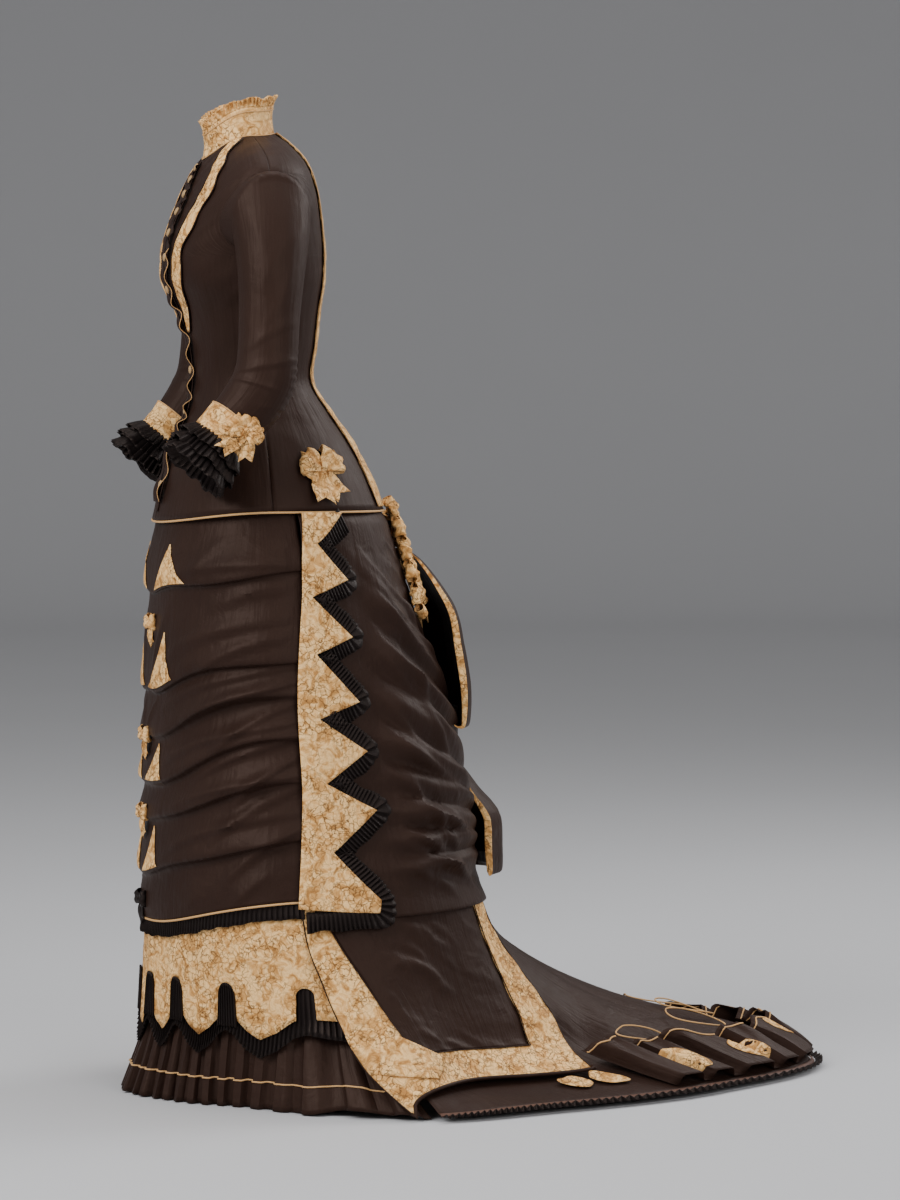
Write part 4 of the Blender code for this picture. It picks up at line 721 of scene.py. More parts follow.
def makeSleeves():
    look = sleeve
    turn = np.linspace(0, 2 * np.pi, look["around"], endpoint=False)[None, :]
    ring = np.linspace(0, 8, look["rows"])[:, None]
    degrees = np.degrees(turn)
    # puckers lie across the back seam at the elbow
    fromSeam = np.abs(degrees - look["seam"])
    gathers = look["gathers"] * np.cos(ring * 24 + 0.05 * (degrees - look["seam"])) * bell(ring, 5.1, 0.95)
    gathers = gathers * (bell(fromSeam, 14, 17) + bell(fromSeam, 0, 8))
    cuffRing = np.linspace(7.1, 8.0, 12)[:, None]
    for side, which in sides:
        folds = creases(degrees, ring, sleeveFolds, 0.00075, 0.042, 360.0) * (1 if side > 0 else 0.85)
        seam = -0.0012 * bell(fromSeam, 0, 2.6)
        hold = ease(ring, 0.0, 0.7) * (1 - ease(ring, 7.0, 7.5))
        lift = (folds + gathers) * hold + seam
        arm = armSurface(turn + 0 * ring, ring + 0 * turn, lift)
        # the cap runs from the armhole seam to the first ring, a little full over the shoulder
        share = np.linspace(0, 1, 16)[:-1, None]
        angle = 90 - 37.0 * np.cos(turn)
        level = 5.55 - 1.54 * np.sin(turn)
        seamLine = onForm(torso, angle, level, 0.0012)
        capGathers = 0.0012 * np.cos(turn * 26) * np.maximum(np.sin(turn), 0) * np.sin(np.pi * share)
        full = np.sin(np.pi * share) * (0.0045 + 0.003 * np.maximum(np.sin(turn), 0)) + capGathers
        cap = seamLine * (1 - share)[..., None] + arm[:1] * share[..., None] + full[..., None] * np.array([1, 0, 0.5])
        points = flipped(np.concatenate([cap, arm]), side)
        cloth(f"sleeve_{which}_silk", points, brownCalm, [f"sleeve_{which}"],
              look["wall"], closed=True,
              centre=np.array([0.2 * side, -0.02, 1.06 - holdHeight]))
        rows = np.concatenate([cuffRing, np.full((3, 1), 8.0)])
        past = np.concatenate([np.zeros((12, 1)), np.array([[0.003], [0.006], [look["cuffPast"]]])])
        flare = look["cuffLift"] + 0.0006 * wander(degrees / 60 + rows, 12 + side) + 0.0012 * ease(rows, 7.1, 8)
        cuff = armSurface(turn + 0 * rows, rows + 0 * turn, flare, past + 0 * turn)
        cloth(f"cuff_{which}_brocade", flipped(cuff, side), tanBrocade, [f"cuff_{which}"],
              0.0009, closed=True,
              centre=np.array([0.2 * side, -0.07, 0.945 - holdHeight]))
        cords = [cordAlong(flipped(cuff[k], side), 0.0010, 6, closed=True) for k in (0, -1)]
        trim(f"cuff_{which}_cords", cords, tanPiping)
        # three tiers of knife pleats, each starting under the one above
        fine = np.linspace(0, 2 * np.pi, look["pleats"] * 4, endpoint=False)[None, :]
        knife = knifePleats(look["pleats"])[None, :]
        tiers = []
        for start, end, spreadStart, spreadEnd in ((0.0030, 0.0250, 0.0016, 0.0150), (0.0170, 0.0420, 0.0030, 0.0165),
                                                  (0.0330, 0.0580, 0.0050, 0.0185)):
            down = np.linspace(0, 1, 7)[:, None]
            ragged = 1 + 0.11 * wander(np.degrees(fine) / 26, int(end * 1000) + side)
            pleated = look["pleatDepth"] * knife * (0.3 + 0.7 * down)
            spread = spreadStart + (spreadEnd - spreadStart) * down ** 0.8 + pleated
            spread = spread + 0.0034 * wander(np.degrees(fine) / 34, int(start * 2000) + 3) * down
            tiers.append(flipped(armSurface(fine + 0 * down, 8.0 + 0 * down + 0 * fine, spread,
                                            start + (end - start) * down * ragged), side))
        cloth(f"wrist_frill_{which}_silk", tiers, blackSilk, [f"wrist_frill_{which}"],
              0.0005, closed=True, middle=True, creaseAngle=35.0)
    print("sleeves, cuffs and wrist frills")


# ribbon bows

def ribbonLoop(centre, frameOf, lean, reach, width, depth, seed, rows=26, columns=11):
    # a ribbon that leaves the knot, turns over at its tip and comes back under itself; it is pinched at the knot
    across, up, out = frameOf
    along = np.cos(np.radians(lean)) * across + np.sin(np.radians(lean)) * up
    beside = -np.sin(np.radians(lean)) * across + np.cos(np.radians(lean)) * up
    s, v = np.linspace(0.0, 1.0, rows)[:, None], np.linspace(-1, 1, columns)[None, :]
    crumple = wander(s * 2.3 + v * 0.8, seed)
    half = width * (0.30 + 0.70 * np.sin(np.pi * s) ** 0.6) * (1 + 0.08 * crumple)
    far = reach * np.sin(np.pi * s) ** 0.85 * (1 - 0.10 * v ** 2) * (1 + 0.05 * wander(v * 1.4 + s, seed + 1))
    gather = 0.14 * depth * np.cos(v * 6.0 + seed) * (1 - 0.6 * np.sin(np.pi * s))
    high = depth * (0.45 + 0.55 * np.sin(2 * np.pi * s)) + gather
    high = high + 0.10 * depth * crumple - 0.18 * depth * v ** 2
    return centre + far[..., None] * along + (half * v)[..., None] * beside + high[..., None] * out


def ribbonEnd(centre, frameOf, lean, length, width, depth, seed, rows=20, columns=9):
    # a loose end with a swallow tail: it widens from the knot and curls in and out on its way
    across, up, out = frameOf
    along = np.cos(np.radians(lean)) * across + np.sin(np.radians(lean)) * up
    beside = -np.sin(np.radians(lean)) * across + np.cos(np.radians(lean)) * up
    s, v = np.linspace(0.0, 1.0, rows)[:, None], np.linspace(-1, 1, columns)[None, :]
    far = length * s * (1 - 0.17 * (1 - np.abs(v)) * s ** 4)
    half = width * (0.35 + 0.65 * ease(s, 0, 0.6)) + 0 * v
    high = depth * (0.25 + 0.30 * np.sin(s * 5.0 + seed) * s) + 0.16 * depth * np.cos(v * 4.4 + seed) * (1 - 0.4 * s)
    swing = 0.12 * length * np.sin(s * 2.4 + seed)
    return centre + far[..., None] * along + (half * v + swing)[..., None] * beside + high[..., None] * out


def ribbonKnot(centre, frameOf, size, depth, rows=15, columns=20):
    # the short band round the middle: a rounded roll, drawn in at its two ends
    across, up, out = frameOf
    v, turn = np.linspace(-1, 1, rows)[:, None], np.linspace(0, 2 * np.pi, columns)[None, :]
    girth = 0.72 + 0.28 * (1 - v ** 2)
    fold = 1 + 0.06 * np.cos(turn * 5)
    return (centre + (0.55 * size * v + 0 * turn)[..., None] * across
            + (size * girth * fold * np.cos(turn))[..., None] * up
            + (0.62 * depth * girth * fold * np.sin(turn) + 0.42 * depth)[..., None] * out)


def bowGrids(centre, out, up, loops, ends, knot, depth):
    # loops and ends are tables: lean, length, half width, seed
    out, up = (np.asarray(v, float) / np.linalg.norm(v) for v in (out, up))
    across = np.cross(up, out)
    across /= np.linalg.norm(across)
    frameOf = (across, np.cross(out, across), out)
    grids = [ribbonLoop(centre, frameOf, lean, reach, width, depth, seed) for lean, reach, width, seed in loops]
    grids += [ribbonEnd(centre, frameOf, lean, reach, width, depth, seed) for lean, reach, width, seed in ends]
    if knot:
        grids.append(ribbonKnot(np.asarray(centre), frameOf, knot, depth))
    return grids


bows = {
    "cuff": {"place": (0.2405, -0.052, 0.948), "out": (1, 0.1, 0.12), "up": (-0.1, 0.55, 1),
             "depth": 0.010, "knot": 0.0065,
             "loops": [(15, 0.027, 0.0125, 1), (165, 0.027, 0.0125, 2), (60, 0.024, 0.0115, 3), (120, 0.023, 0.0115, 4),
                       (-20, 0.022, 0.011, 5), (200, 0.022, 0.011, 6)],
             "ends": [(-62, 0.042, 0.010, 7), (-110, 0.046, 0.0105, 8)]},
    "hip": {"angle": 116.0, "level": 13.9, "lift": 0.0016, "depth": 0.0125, "knot": 0.0085,
            "loops": [(12, 0.037, 0.017, 11), (168, 0.037, 0.017, 12), (48, 0.033, 0.015, 13), (134, 0.032, 0.015, 14)],
            "ends": [(-60, 0.052, 0.015, 15), (-100, 0.058, 0.016, 16), (-150, 0.036, 0.013, 17)]},
    "front": {"depth": 0.009, "knot": 0.006,
              "loops": [(8, 0.023, 0.0115, 21), (172, 0.023, 0.0115, 22)],
              "ends": [(-62, 0.034, 0.009, 23), (-116, 0.036, 0.009, 24)]},
}
# columns: height, lift of the middle off the skirt form, black or not
frontBows = ((0.672, 0.0062, 0), (0.512, 0.0088, 0), (0.400, 0.0088, 0), (0.276, 0.0070, 1))


def makeBows():
    for side, which in sides:
        look = bows["cuff"]
        grids = bowGrids(*(flipped(np.array(look[k], float), side) for k in ("place", "out", "up")), look["loops"],
                         look["ends"], look["knot"], look["depth"])
        cloth(f"cuff_bow_{which}_ribbon", grids, tanBrocade, [f"cuff_bow_{which}"],
              0.0006, middle=True,
              centre=flipped(np.array([0.23, -0.052, 0.948 - holdHeight]), side))
        look = bows["hip"]
        place = onForm(torso, look["angle"], look["level"], look["lift"])
        up = torso(look["angle"], look["level"] - 0.5) - torso(look["angle"], look["level"] + 0.5)
        out = outwards(torso, look["angle"], look["level"])
        grids = bowGrids(flipped(place, side), flipped(out, side), flipped(up, side), look["loops"], look["ends"],
                         look["knot"], look["depth"])
        cloth(f"hip_bow_{which}_ribbon", grids, tanBrocade, [f"hip_bow_{which}"],
              0.0007, middle=True)
    look = bows["front"]
    for number, (height, lift, dark) in enumerate(frontBows, 1):
        centre = onForm(skirt, 0.0, height, lift - 0.004)
        grids = bowGrids(centre, (0, -1, 0), (0, 0, 1), look["loops"], look["ends"], look["knot"], look["depth"])
        cloth(f"front_bow_{number}_ribbon", grids, blackSilk if dark else tanBrocade,
              [f"front_bow_{number}"], 0.0006,
              middle=True)
    print("bows")


# apron

apron = {
    "edge": 101.0, "top": 0.862, "hem": 0.253, "wall": 0.0010, "columns": 176, "rowsEach": 8, "foldUnder": 0.011,
    "pipingRadius": 0.0016, "frillPleats": 108, "frillEdge": 98.0, "frillHeight": 0.034, "frillDepth": 0.0016,
    "frontFlat": 0.6, "pullSize": 1.9,
}
# draped folds. Columns: height at the front, rise to the side, depth
apronFolds = np.array([
    [0.722, 0.030, 0.010], [0.585, 0.052, 0.011], [0.516, 0.070, 0.011], [0.446, 0.078, 0.012],
    [0.394, 0.066, 0.011], [0.322, 0.058, 0.012],
])
# pulls in the apron, from the side seam down to the front. Columns: angle and height at each end, bow,
# height of the fold, half width
apronPulls = [
    [99, 0.762, 40, 0.745, 0.006, 0.0022, 0.012], [99, 0.735, 62, 0.700, 0.004, 0.0028, 0.010],
    [99, 0.690, 34, 0.628, 0.008, 0.0034, 0.012], [99, 0.668, 58, 0.612, 0.006, 0.0030, 0.009],
    [99, 0.622, 26, 0.552, 0.008, 0.0030, 0.011], [99, 0.602, 48, 0.536, 0.006, 0.0036, 0.010],
    [99, 0.575, 66, 0.500, 0.006, 0.0034, 0.009], [99, 0.545, 30, 0.476, 0.007, 0.0030, 0.010],
    [99, 0.524, 52, 0.455, 0.005, 0.0034, 0.009], [99, 0.500, 72, 0.420, 0.005, 0.0036, 0.008],
    [99, 0.472, 40, 0.418, 0.004, 0.0026, 0.009], [99, 0.455, 64, 0.372, 0.006, 0.0034, 0.009],
    [99, 0.420, 34, 0.352, 0.006, 0.0030, 0.010], [99, 0.400, 70, 0.318, 0.005, 0.0032, 0.009],
    [70, 0.800, 52, 0.742, 0.003, 0.0018, 0.012], [30, 0.690, 12, 0.600, 0.004, 0.0018, 0.011],
    [18, 0.566, 4, 0.520, 0.002, 0.0018, 0.008], [60, 0.300, 44, 0.262, 0.002, 0.0016, 0.010],
    [86, 0.330, 72, 0.276, 0.002, 0.0020, 0.009],
]
# small creases lie nearly level, and run up towards the side seams
apronSmall = scattered(31, 90, (-96, 96), (0.30, 0.80), 0.0, 0.0, 0.0012, 0.0055)
apronSmall[:, 2] += 14 * np.sign(apronSmall[:, 0])
apronSmall[:, 3] += 0.016


def apronHem(angle):
    return apron["hem"] + 0.042 * ease(np.abs(angle), 10, apron["edge"]) ** 1.4


def apronRows(angle):
    # heights and lifts of the rows: each fold swells down to an edge, then turns under
    sideways = ease(np.abs(angle), 10, apron["edge"])
    calm = 1 - 0.75 * ease(np.abs(angle), 84, apron["edge"]) - apron["frontFlat"] * bell(angle, 0, 42)
    heights = [np.full_like(angle, apron["top"]), np.full_like(angle, 0.812)]
    lifts = [np.full_like(angle, -0.0085), np.full_like(angle, -0.0060)]
    above = heights[-1]
    for front, rise, depth in apronFolds:
        edge = front + rise * sideways + 0.004 * np.sin(np.radians(np.abs(angle) * 5 + front * 900))
        heights += [edge + 0.42 * (above - edge), edge, edge - apron["foldUnder"]]
        lifts += [0.0055 * calm + 0.002, depth * calm + 0.002, 0.0005 + 0 * angle]
        above = heights[-1]
    hem = apronHem(angle)
    heights += [hem + 0.5 * (above - hem), hem]
    lifts += [0.004 * calm + 0.002, 0.005 * calm + 0.002]
    return np.array(heights), np.array(lifts)


def apronSurface(angle, row, lift=0.0):
    # a point of the apron from its angle and its row, with the pulls on top of the draped folds
    angle, row = np.broadcast_arrays(np.asarray(angle, float), np.asarray(row, float))
    heights, lifts = apronRows(angle)
    height, base = alongRows(heights, row), alongRows(lifts, row)
    folded = np.abs(angle)
    share = 1.0 - 0.15 * (angle < 0)
    still = ease(height, 0.86, 0.79) * (1 - 0.5 * ease(folded, 92, 100)) * (0.25 + 0.75 * ease(height, 0.262, 0.300))
    pulls = creases(folded, height, apronPulls, 0.0030, 1.0)
    small = creases(angle, height, apronSmall, 0.0030, 1.0)
    return onForm(skirt, angle, height, base + apron["pullSize"] * share * pulls * still + small * still + lift)


def makeApron():
    look = apron
    angle = np.linspace(-look["edge"], look["edge"], look["columns"])[None, :]
    last = 3 * len(apronFolds) + 3
    # rows are closer where each fold turns under
    row = np.linspace(0, last, last * look["rowsEach"] + 1)[:, None]
    points = apronSurface(angle, row)
    cloth("apron_silk", points, brownSilk, ["apron"],
          look["wall"])
    hem = points[-1] - np.array([0, 0, look["pipingRadius"] + 0.0002])
    trim("apron_hem_cord", [cordAlong(hem, look["pipingRadius"])], tanPiping, ["apron_piping"])
    count = look["frillPleats"]
    angle = np.linspace(-look["frillEdge"], look["frillEdge"], 4 * count)[None, :]
    knife = knifePleats(count)[None, :]
    down = np.linspace(0, 1, 7)[:, None]
    height = apronHem(angle) + 0.010 - look["frillHeight"] * down * (1 + 0.03 * wander(angle / 7, 44))
    lift = -0.0002 + 0.0020 * down + look["frillDepth"] * knife * (0.3 + 0.7 * down)
    cloth("apron_frill_silk", onForm(skirt, angle, height, lift), blackSilk, ["apron_frill"],
          0.0005, middle=True, creaseAngle=35.0)
    print("apron, its cord and its frill")


# triangles of brocade beside the centre front. Columns: fold at the base, rows up to the apex, apex angle,
# base start angle, base end angle
insets = {"lift": 0.0016, "wall": 0.0007,
          "table": ((0, 1.55, 31, 12, 49), (1, 1.3, 29, 6, 40), (3, 1.95, 22, 5, 31), (5, 1.95, 17, 4, 27))}


def makeInsets():
    for number, (fold, rowsUp, apex, start, end) in enumerate(insets["table"], 1):
        down = np.linspace(0, 1, 30)[:, None]
        across = np.linspace(0, 1, 18)[None, :]
        spread = 0.03 + 0.97 * down ** 1.08
        angle = apex + ((start + end) / 2 - apex) * down + (across - 0.5) * (end - start) * spread
        row = 3 * (fold + 1) - rowsUp * (1 - down) + 0.03 + 0 * angle
        for side, which in sides:
            points = apronSurface(side * angle, row, insets["lift"])
            cloth(f"inset_{which}_{number}_brocade", points, tanBrocade, [f"inset_{which}_{number}"],
                  insets["wall"])
    print("triangular insets")


# underskirt

underskirt = {
    "bandEdge": 106.5, "flounceEdge": 117.2, "bandTop": 0.272, "tabTip": 0.098, "tabShoulder": 0.131, "slotTop": 0.174,
    "slotHalf": 3.0, "bandLift": -0.0032, "bandTuck": 0.0085, "flounceTuck": 0.0125, "wall": 0.0010,
    "pleats": 30, "pleatDepth": 0.0100, "flounceTop": 0.128, "trimPleats": 150, "trimDepth": 0.0020,
    "cordHeight": 0.037,
    "frontFlare": 0.009,
}
slotAngles = np.array([12.5, 38.0, 69.0, 97.0])


def tucked(angle, depth):
    return depth * ease(np.abs(angle), 96.5, 103)


def tabLine(angle, rounding=1.0):
    # lower edge of the band: round-topped slots between pointed tabs
    folded = np.abs(angle)
    slots = np.concatenate([-slotAngles[::-1], slotAngles])
    nearest = np.abs(angle[..., None] - slots).min(-1)
    which = slots[np.abs(angle[..., None] - slots).argmin(-1)]
    half = underskirt["slotHalf"] * (1.25 - 0.4 * np.abs(which) / 100)
    order = np.clip(np.searchsorted(slots, angle), 1, len(slots) - 1)
    share = np.clip((angle - slots[order - 1]) / (slots[order] - slots[order - 1]), 0, 1)
    drop = np.interp(share, [0, 0.12, 0.3, 0.5, 0.7, 0.88, 1], [0, 0.12, 0.65, 1.0, 0.65, 0.12, 0])
    tab = underskirt["tabShoulder"] + (underskirt["tabTip"] - underskirt["tabShoulder"]) * drop * (folded < 97)
    arch = underskirt["slotTop"] - 0.013 * (1 - np.sqrt(np.maximum(1 - (nearest / half) ** 2, 0)))
    return np.where(nearest < half * rounding, arch, tab)


def makeUnderskirt():
    look = underskirt
    slots = np.concatenate([-slotAngles[::-1], slotAngles])
    angle = np.linspace(-look["bandEdge"], look["bandEdge"], 320)
    half = look["slotHalf"] * (1.25 - 0.4 * np.abs(slots) / 100)
    shares = np.array([-1.001, -0.999, -0.9, -0.6, -0.3, 0.3, 0.6, 0.9, 0.999, 1.001])
    marks = (slots[:, None] + half[:, None] * shares).ravel()
    angle = np.unique(np.concatenate([angle, marks]))
    edge = tabLine(angle)
    down = np.linspace(0, 1, 16)[:, None]
    height = look["bandTop"] + (edge - look["bandTop"]) * down
    waves = 0.0012 * wander(angle / 9, 51) * ease(height, 0.26, 0.12) + creases(
        angle, height, scattered(52, 40, (-100, 100), (0.13, 0.25), 5.0, -0.03, 0.0012, 0.006), 0.0030, 1.0)
    lift = look["bandLift"] - tucked(angle, look["bandTuck"]) + waves
    points = onForm(skirt, angle[None, :] + 0 * down, height, lift)
    cloth("tab_band_brocade", points, tanBrocade, ["tabbed_band"],
          look["wall"], creaseAngle=60.0, cut=(clothLengths(points[:2])[0], clothLengths(points)[1]))
    # knife pleats fill the slots and hang below the tabs
    count = look["trimPleats"]
    fine = np.linspace(-look["bandEdge"], look["bandEdge"], 4 * count)[None, :]
    knife = knifePleats(count)[None, :]
    edge = tabLine(fine, 0.0)
    nearest = np.abs(fine[..., None] - slots).min(-1)
    lower = np.minimum(edge, 0.135) - 0.026 + 0.004 * bell(nearest, 0, 4.0)
    down = np.linspace(0, 1, 10)[:, None]
    height = look["slotTop"] + 0.010 + (lower - look["slotTop"] - 0.010) * down
    lift = look["bandLift"] - 0.0042 + 0.0062 * ease(height, lower + 0.018, lower) - tucked(fine, look["bandTuck"])
    lift = lift + look["trimDepth"] * knife * (0.4 + 0.6 * down)
    cloth("tab_pleats_silk", onForm(skirt, fine + 0 * down, height, lift), blackSilk, ["tab_trim"],
          0.0005, middle=True, creaseAngle=35.0)
    makeSlotFrills(slots)
    # the flounce: flat-topped pleats, each of its own width
    count = look["pleats"]
    angle = np.linspace(-look["flounceEdge"], look["flounceEdge"], 12 * count)[None, :]
    phase = (angle + look["flounceEdge"]) / (2 * look["flounceEdge"]) * count + 0.16 * wander(angle / 20, 61)
    box = ease(np.abs((phase % 1) - 0.5), 0.34, 0.20)
    down = np.linspace(0, 1, 18)[:, None]
    tuck = tucked(angle, look["flounceTuck"])
    bottom = 0.0015 + 0.88 * tuck
    height = look["flounceTop"] + (bottom - look["flounceTop"]) * down
    lift = -0.0232 + 0.0192 * down ** 0.8 - tuck + look["pleatDepth"] * box * (0.5 + 0.6 * down)
    lift = lift + 0.0015 * wander(angle / 6 + down * 0.7, 62) * down
    lift = lift + look["frontFlare"] * down ** 2 * bell(angle, 0, 50)
    flounce = onForm(skirt, angle + 0 * down, height, lift)
    cloth("flounce_silk", flounce, brownSilk, ["flounce_front"],
          0.0009, creaseAngle=45.0)
    share = (look["flounceTop"] - look["cordHeight"]) / look["flounceTop"]
    row = int(round(share * 17))
    out = outwards(skirt, angle[0], look["cordHeight"])
    trim("flounce_cord", [cordAlong(flounce[row] + 0.0012 * out, 0.0013, 6)], tanPiping)
    print("underskirt: band, pleated trim and flounce")


def makeSlotFrills(slots):
    # round each slot the black pleats stand out over the band, fanned round its arched top
    grids = []
    for slot in slots[np.abs(slots) < 97]:
        half = underskirt["slotHalf"] * (1.25 - 0.4 * abs(slot) / 100)
        u = np.linspace(-1, 1, 8 * 4 + 1)[None, :]
        down = np.linspace(0, 1, 12)[:, None]
        arch = 0.012 * (1 - np.sqrt(np.maximum(1 - (0.98 * u) ** 2, 0)))
        height = underskirt["slotTop"] + 0.003 - arch - 0.062 * down * (1 - 0.1 * u ** 2)
        angle = slot + 1.45 * half * u * (0.70 + 0.20 * ease(down, 0, 0.15) + 0.22 * down)
        knife = knifePleats(9)[None, : u.size]
        lift = underskirt["bandLift"] + 0.0016 + 0.0012 * knife + 0.0022 * (1 - u ** 2)
        grids.append(onForm(skirt, angle, height, lift))
    cloth("slot_pleats_silk", grids, blackSilk, [], 0.0005,
          middle=True, creaseAngle=35.0)


# hip panels

hipPanel = {"lift": 0.0112, "frillLift": 0.0080, "wall": 0.0010, "frillReach": 0.0205, "frillTuck": 0.007,
            "pleat": 0.0056, "pleatDepth": 0.0024}
# the toothed edge. Columns: height, angle
hipEdge = np.array([
    [0.832, 121.0], [0.800, 107.0], [0.748, 119.0], [0.726, 103.5], [0.669, 118.5], [0.647, 104.0],
    [0.579, 119.0], [0.557, 104.7], [0.510, 121.0], [0.467, 106.4], [0.427, 123.0], [0.371, 107.6],
    [0.302, 120.5], [0.284, 119.5],
])
hipFront = np.array([[0.284, 96.2], [0.435, 98.0], [0.576, 97.0], [0.735, 99.7], [0.832, 101.4]])


def makeHipPanels():
    look = hipPanel
    height = np.unique(np.concatenate([hipEdge[:, 0], np.linspace(0.284, 0.832, 150)]))[::-1][:, None]
    front = splineAt(hipFront[:, 0], hipFront[:, 1], height)
    edge = np.interp(-height, -hipEdge[:, 0], hipEdge[:, 1])
    across = np.linspace(0, 1, 15)[None, :]
    angle = front + across * (edge - front)
    sway = -0.010 * across * ease(height, 0.84, 0.80)
    # the frill follows the toothed edge and carries on along the bottom
    perDegree = 0.0043
    line = np.concatenate([hipEdge[:, ::-1] * [perDegree, 1], [[98.5 * perDegree, 0.282]]])
    lengths = np.concatenate([[0], np.cumsum(np.linalg.norm(np.diff(line, axis=0), axis=1))])
    count = int(lengths[-1] / look["pleat"])
    s = np.linspace(0, lengths[-1], count * 4 + 1)
    place = np.stack([np.interp(s, lengths, line[:, k]) for k in (0, 1)], 1)
    # smoothed directions, so the frill fans round each point
    smooth = np.stack([np.convolve(np.pad(place[:, k], 14, mode="edge"), np.hanning(29) / np.hanning(29).sum(), "valid")
                       for k in (0, 1)], 1)
    ahead = np.gradient(smooth, axis=0)
    ahead /= np.linalg.norm(ahead, axis=1, keepdims=True) + 1e-9
    outward = np.stack([-ahead[:, 1], ahead[:, 0]], 1)
    knife = knifePleats(count + 1)[: len(s)]
    wide = np.linspace(0, 1, 7)[None, :]
    far = -look["frillTuck"] + (look["frillTuck"] + look["frillReach"]) * wide
    for side, which in sides:
        rise = look["lift"] + 0.0012 * wander(height * 9 + angle / 14, 70 + side) * ease(height, 0.80, 0.74)
        points = flipped(onForm(skirt, angle, height + sway, rise), side)
        cloth(f"hip_panel_{which}_brocade", points, tanBrocade, [f"hip_panel_{which}"],
              look["wall"], creaseAngle=60.0,
              cut=(clothLengths(points)[0], clothLengths(points[:, :2])[1]))
        ragged = 1 + 0.06 * wander(s[:, None] * 40, 80 + side)
        spot = place[:, None] + (far * ragged)[..., None] * outward[:, None]
        lift = look["frillLift"] + look["pleatDepth"] * knife[:, None] * (0.25 + 0.75 * wide) + 0.0020 * wide
        low = spot[..., 1] - 0.010 * ease(spot[..., 1], 0.84, 0.80)
        frill = flipped(onForm(skirt, spot[..., 0] / perDegree, low, lift), side)
        cloth(f"hip_frill_{which}_silk", frill, blackSilk, [f"hip_frill_{which}"],
              0.0005, middle=True, creaseAngle=35.0)
    print("hip panels and their frills")


# back drapery

drapery = {"start": 101.15, "lift": 0.0028, "wall": 0.0010, "columns": 100, "rows": 150}
# puffed folds that run down to the centre back. Columns: height at the hip, fall to the centre, width, depth
draperyFolds = np.array([
    [0.86, 0.34, 0.020, 0.010], [0.80, 0.26, 0.022, 0.013], [0.72, 0.24, 0.024, 0.016],
    [0.64, 0.20, 0.022, 0.017], [0.565, 0.16, 0.020, 0.019], [0.50, 0.11, 0.018, 0.017],
    [0.435, 0.065, 0.018, 0.019], [0.385, 0.030, 0.015, 0.016], [0.335, 0.0, 0.013, 0.013],
])
draperyPulls = [
    [124, 0.800, 176, 0.640, 0.014, 0.0045, 0.010], [126, 0.760, 172, 0.560, 0.016, 0.0050, 0.011],
    [124, 0.700, 168, 0.520, 0.014, 0.0045, 0.010], [126, 0.655, 176, 0.470, 0.016, 0.0050, 0.011],
    [124, 0.600, 160, 0.450, 0.012, 0.0045, 0.009], [126, 0.545, 172, 0.400, 0.012, 0.0045, 0.010],
    [124, 0.500, 150, 0.400, 0.008, 0.0040, 0.008], [126, 0.455, 168, 0.360, 0.010, 0.0042, 0.009],
    [124, 0.420, 146, 0.350, 0.006, 0.0036, 0.008], [128, 0.375, 160, 0.315, 0.006, 0.0040, 0.008],
    [140, 0.640, 158, 0.500, 0.008, 0.0036, 0.008], [146, 0.560, 164, 0.430, 0.008, 0.0036, 0.008],
    [134, 0.470, 152, 0.350, 0.006, 0.0034, 0.007], [150, 0.720, 168, 0.600, 0.008, 0.0036, 0.009],
    [142, 0.350, 160, 0.300, 0.003, 0.0034, 0.007], [130, 0.340, 150, 0.296, 0.003, 0.0030, 0.007],
]


def draperyLift(angle, height, side):
    along = (angle - drapery["start"]) / (180 - drapery["start"])
    lift = np.zeros(np.broadcast(angle, height).shape)
    for start, fall, width, depth in draperyFolds:
        lift = np.maximum(lift, depth * bell(height, start - fall * along ** 1.1, width * (0.8 + 0.5 * along)))
    calm = ease(angle, 124, 138) * (1 - 0.5 * ease(angle, 162, 178)) * (1 - ease(height, 0.300, 0.275))
    top = ease(height, 0.835, 0.800)
    overPanel = 0.003 * (1 - ease(height, 0.265, 0.300))
    small = scattered(90 + side, 60, (124, 168), (0.31, 0.80), 18.0, -0.060, 0.0026, 0.0070)
    pulls = 1.4 * creases(angle, height, draperyPulls, 0.0045, 1.0) + creases(angle, height, small, 0.0045, 1.0)
    lift = drapery["lift"] + overPanel + lift * (0.10 + 0.90 * calm) * top + pulls * calm * top
    under = ease(height, 0.815, 0.850)
    return lift * (1 - under) - 0.0065 * under


def makeDrapery():
    look = drapery
    height = np.linspace(0.862, 0.268, look["rows"])[:, None]
    angle = np.linspace(look["start"], 179.9, look["columns"])[None, :]
    for side, which in sides:
        points = flipped(onForm(skirt, angle, height, draperyLift(angle, height, side)), side)
        cloth(f"drapery_{which}_silk", points, brownSilk, [f"drapery_{which}"],
              look["wall"])
    print("back drapery")


# lower side panels

sidePanel = {"lift": 0.0010, "hemRise": 0.065, "borderTop": 0.05, "borderGrowth": 0.22, "back": 0.87, "bottom": 0.81,
             "wall": 0.0009, "hemFold": 0.0028,
             # angle and height of the corners of the flap that the front border turns out over the panel
             "flap": np.array([[[114.0, 0.120], [128.8, 0.073]], [[111.0, 0.060], [123.0, 0.049]]])}
# columns: share down, front angle and height, back angle and height
sideTable = np.array([
    [0.00, 97.0, 0.286, 166.0, 0.300], [0.20, 98.5, 0.235, 165.0, 0.225], [0.40, 102.0, 0.180, 163.0, 0.160],
    [0.60, 105.5, 0.120, 160.5, 0.112], [0.80, 108.5, 0.065, 158.0, 0.075], [1.00, 114.0, 0.006, 154.0, 0.040],
])


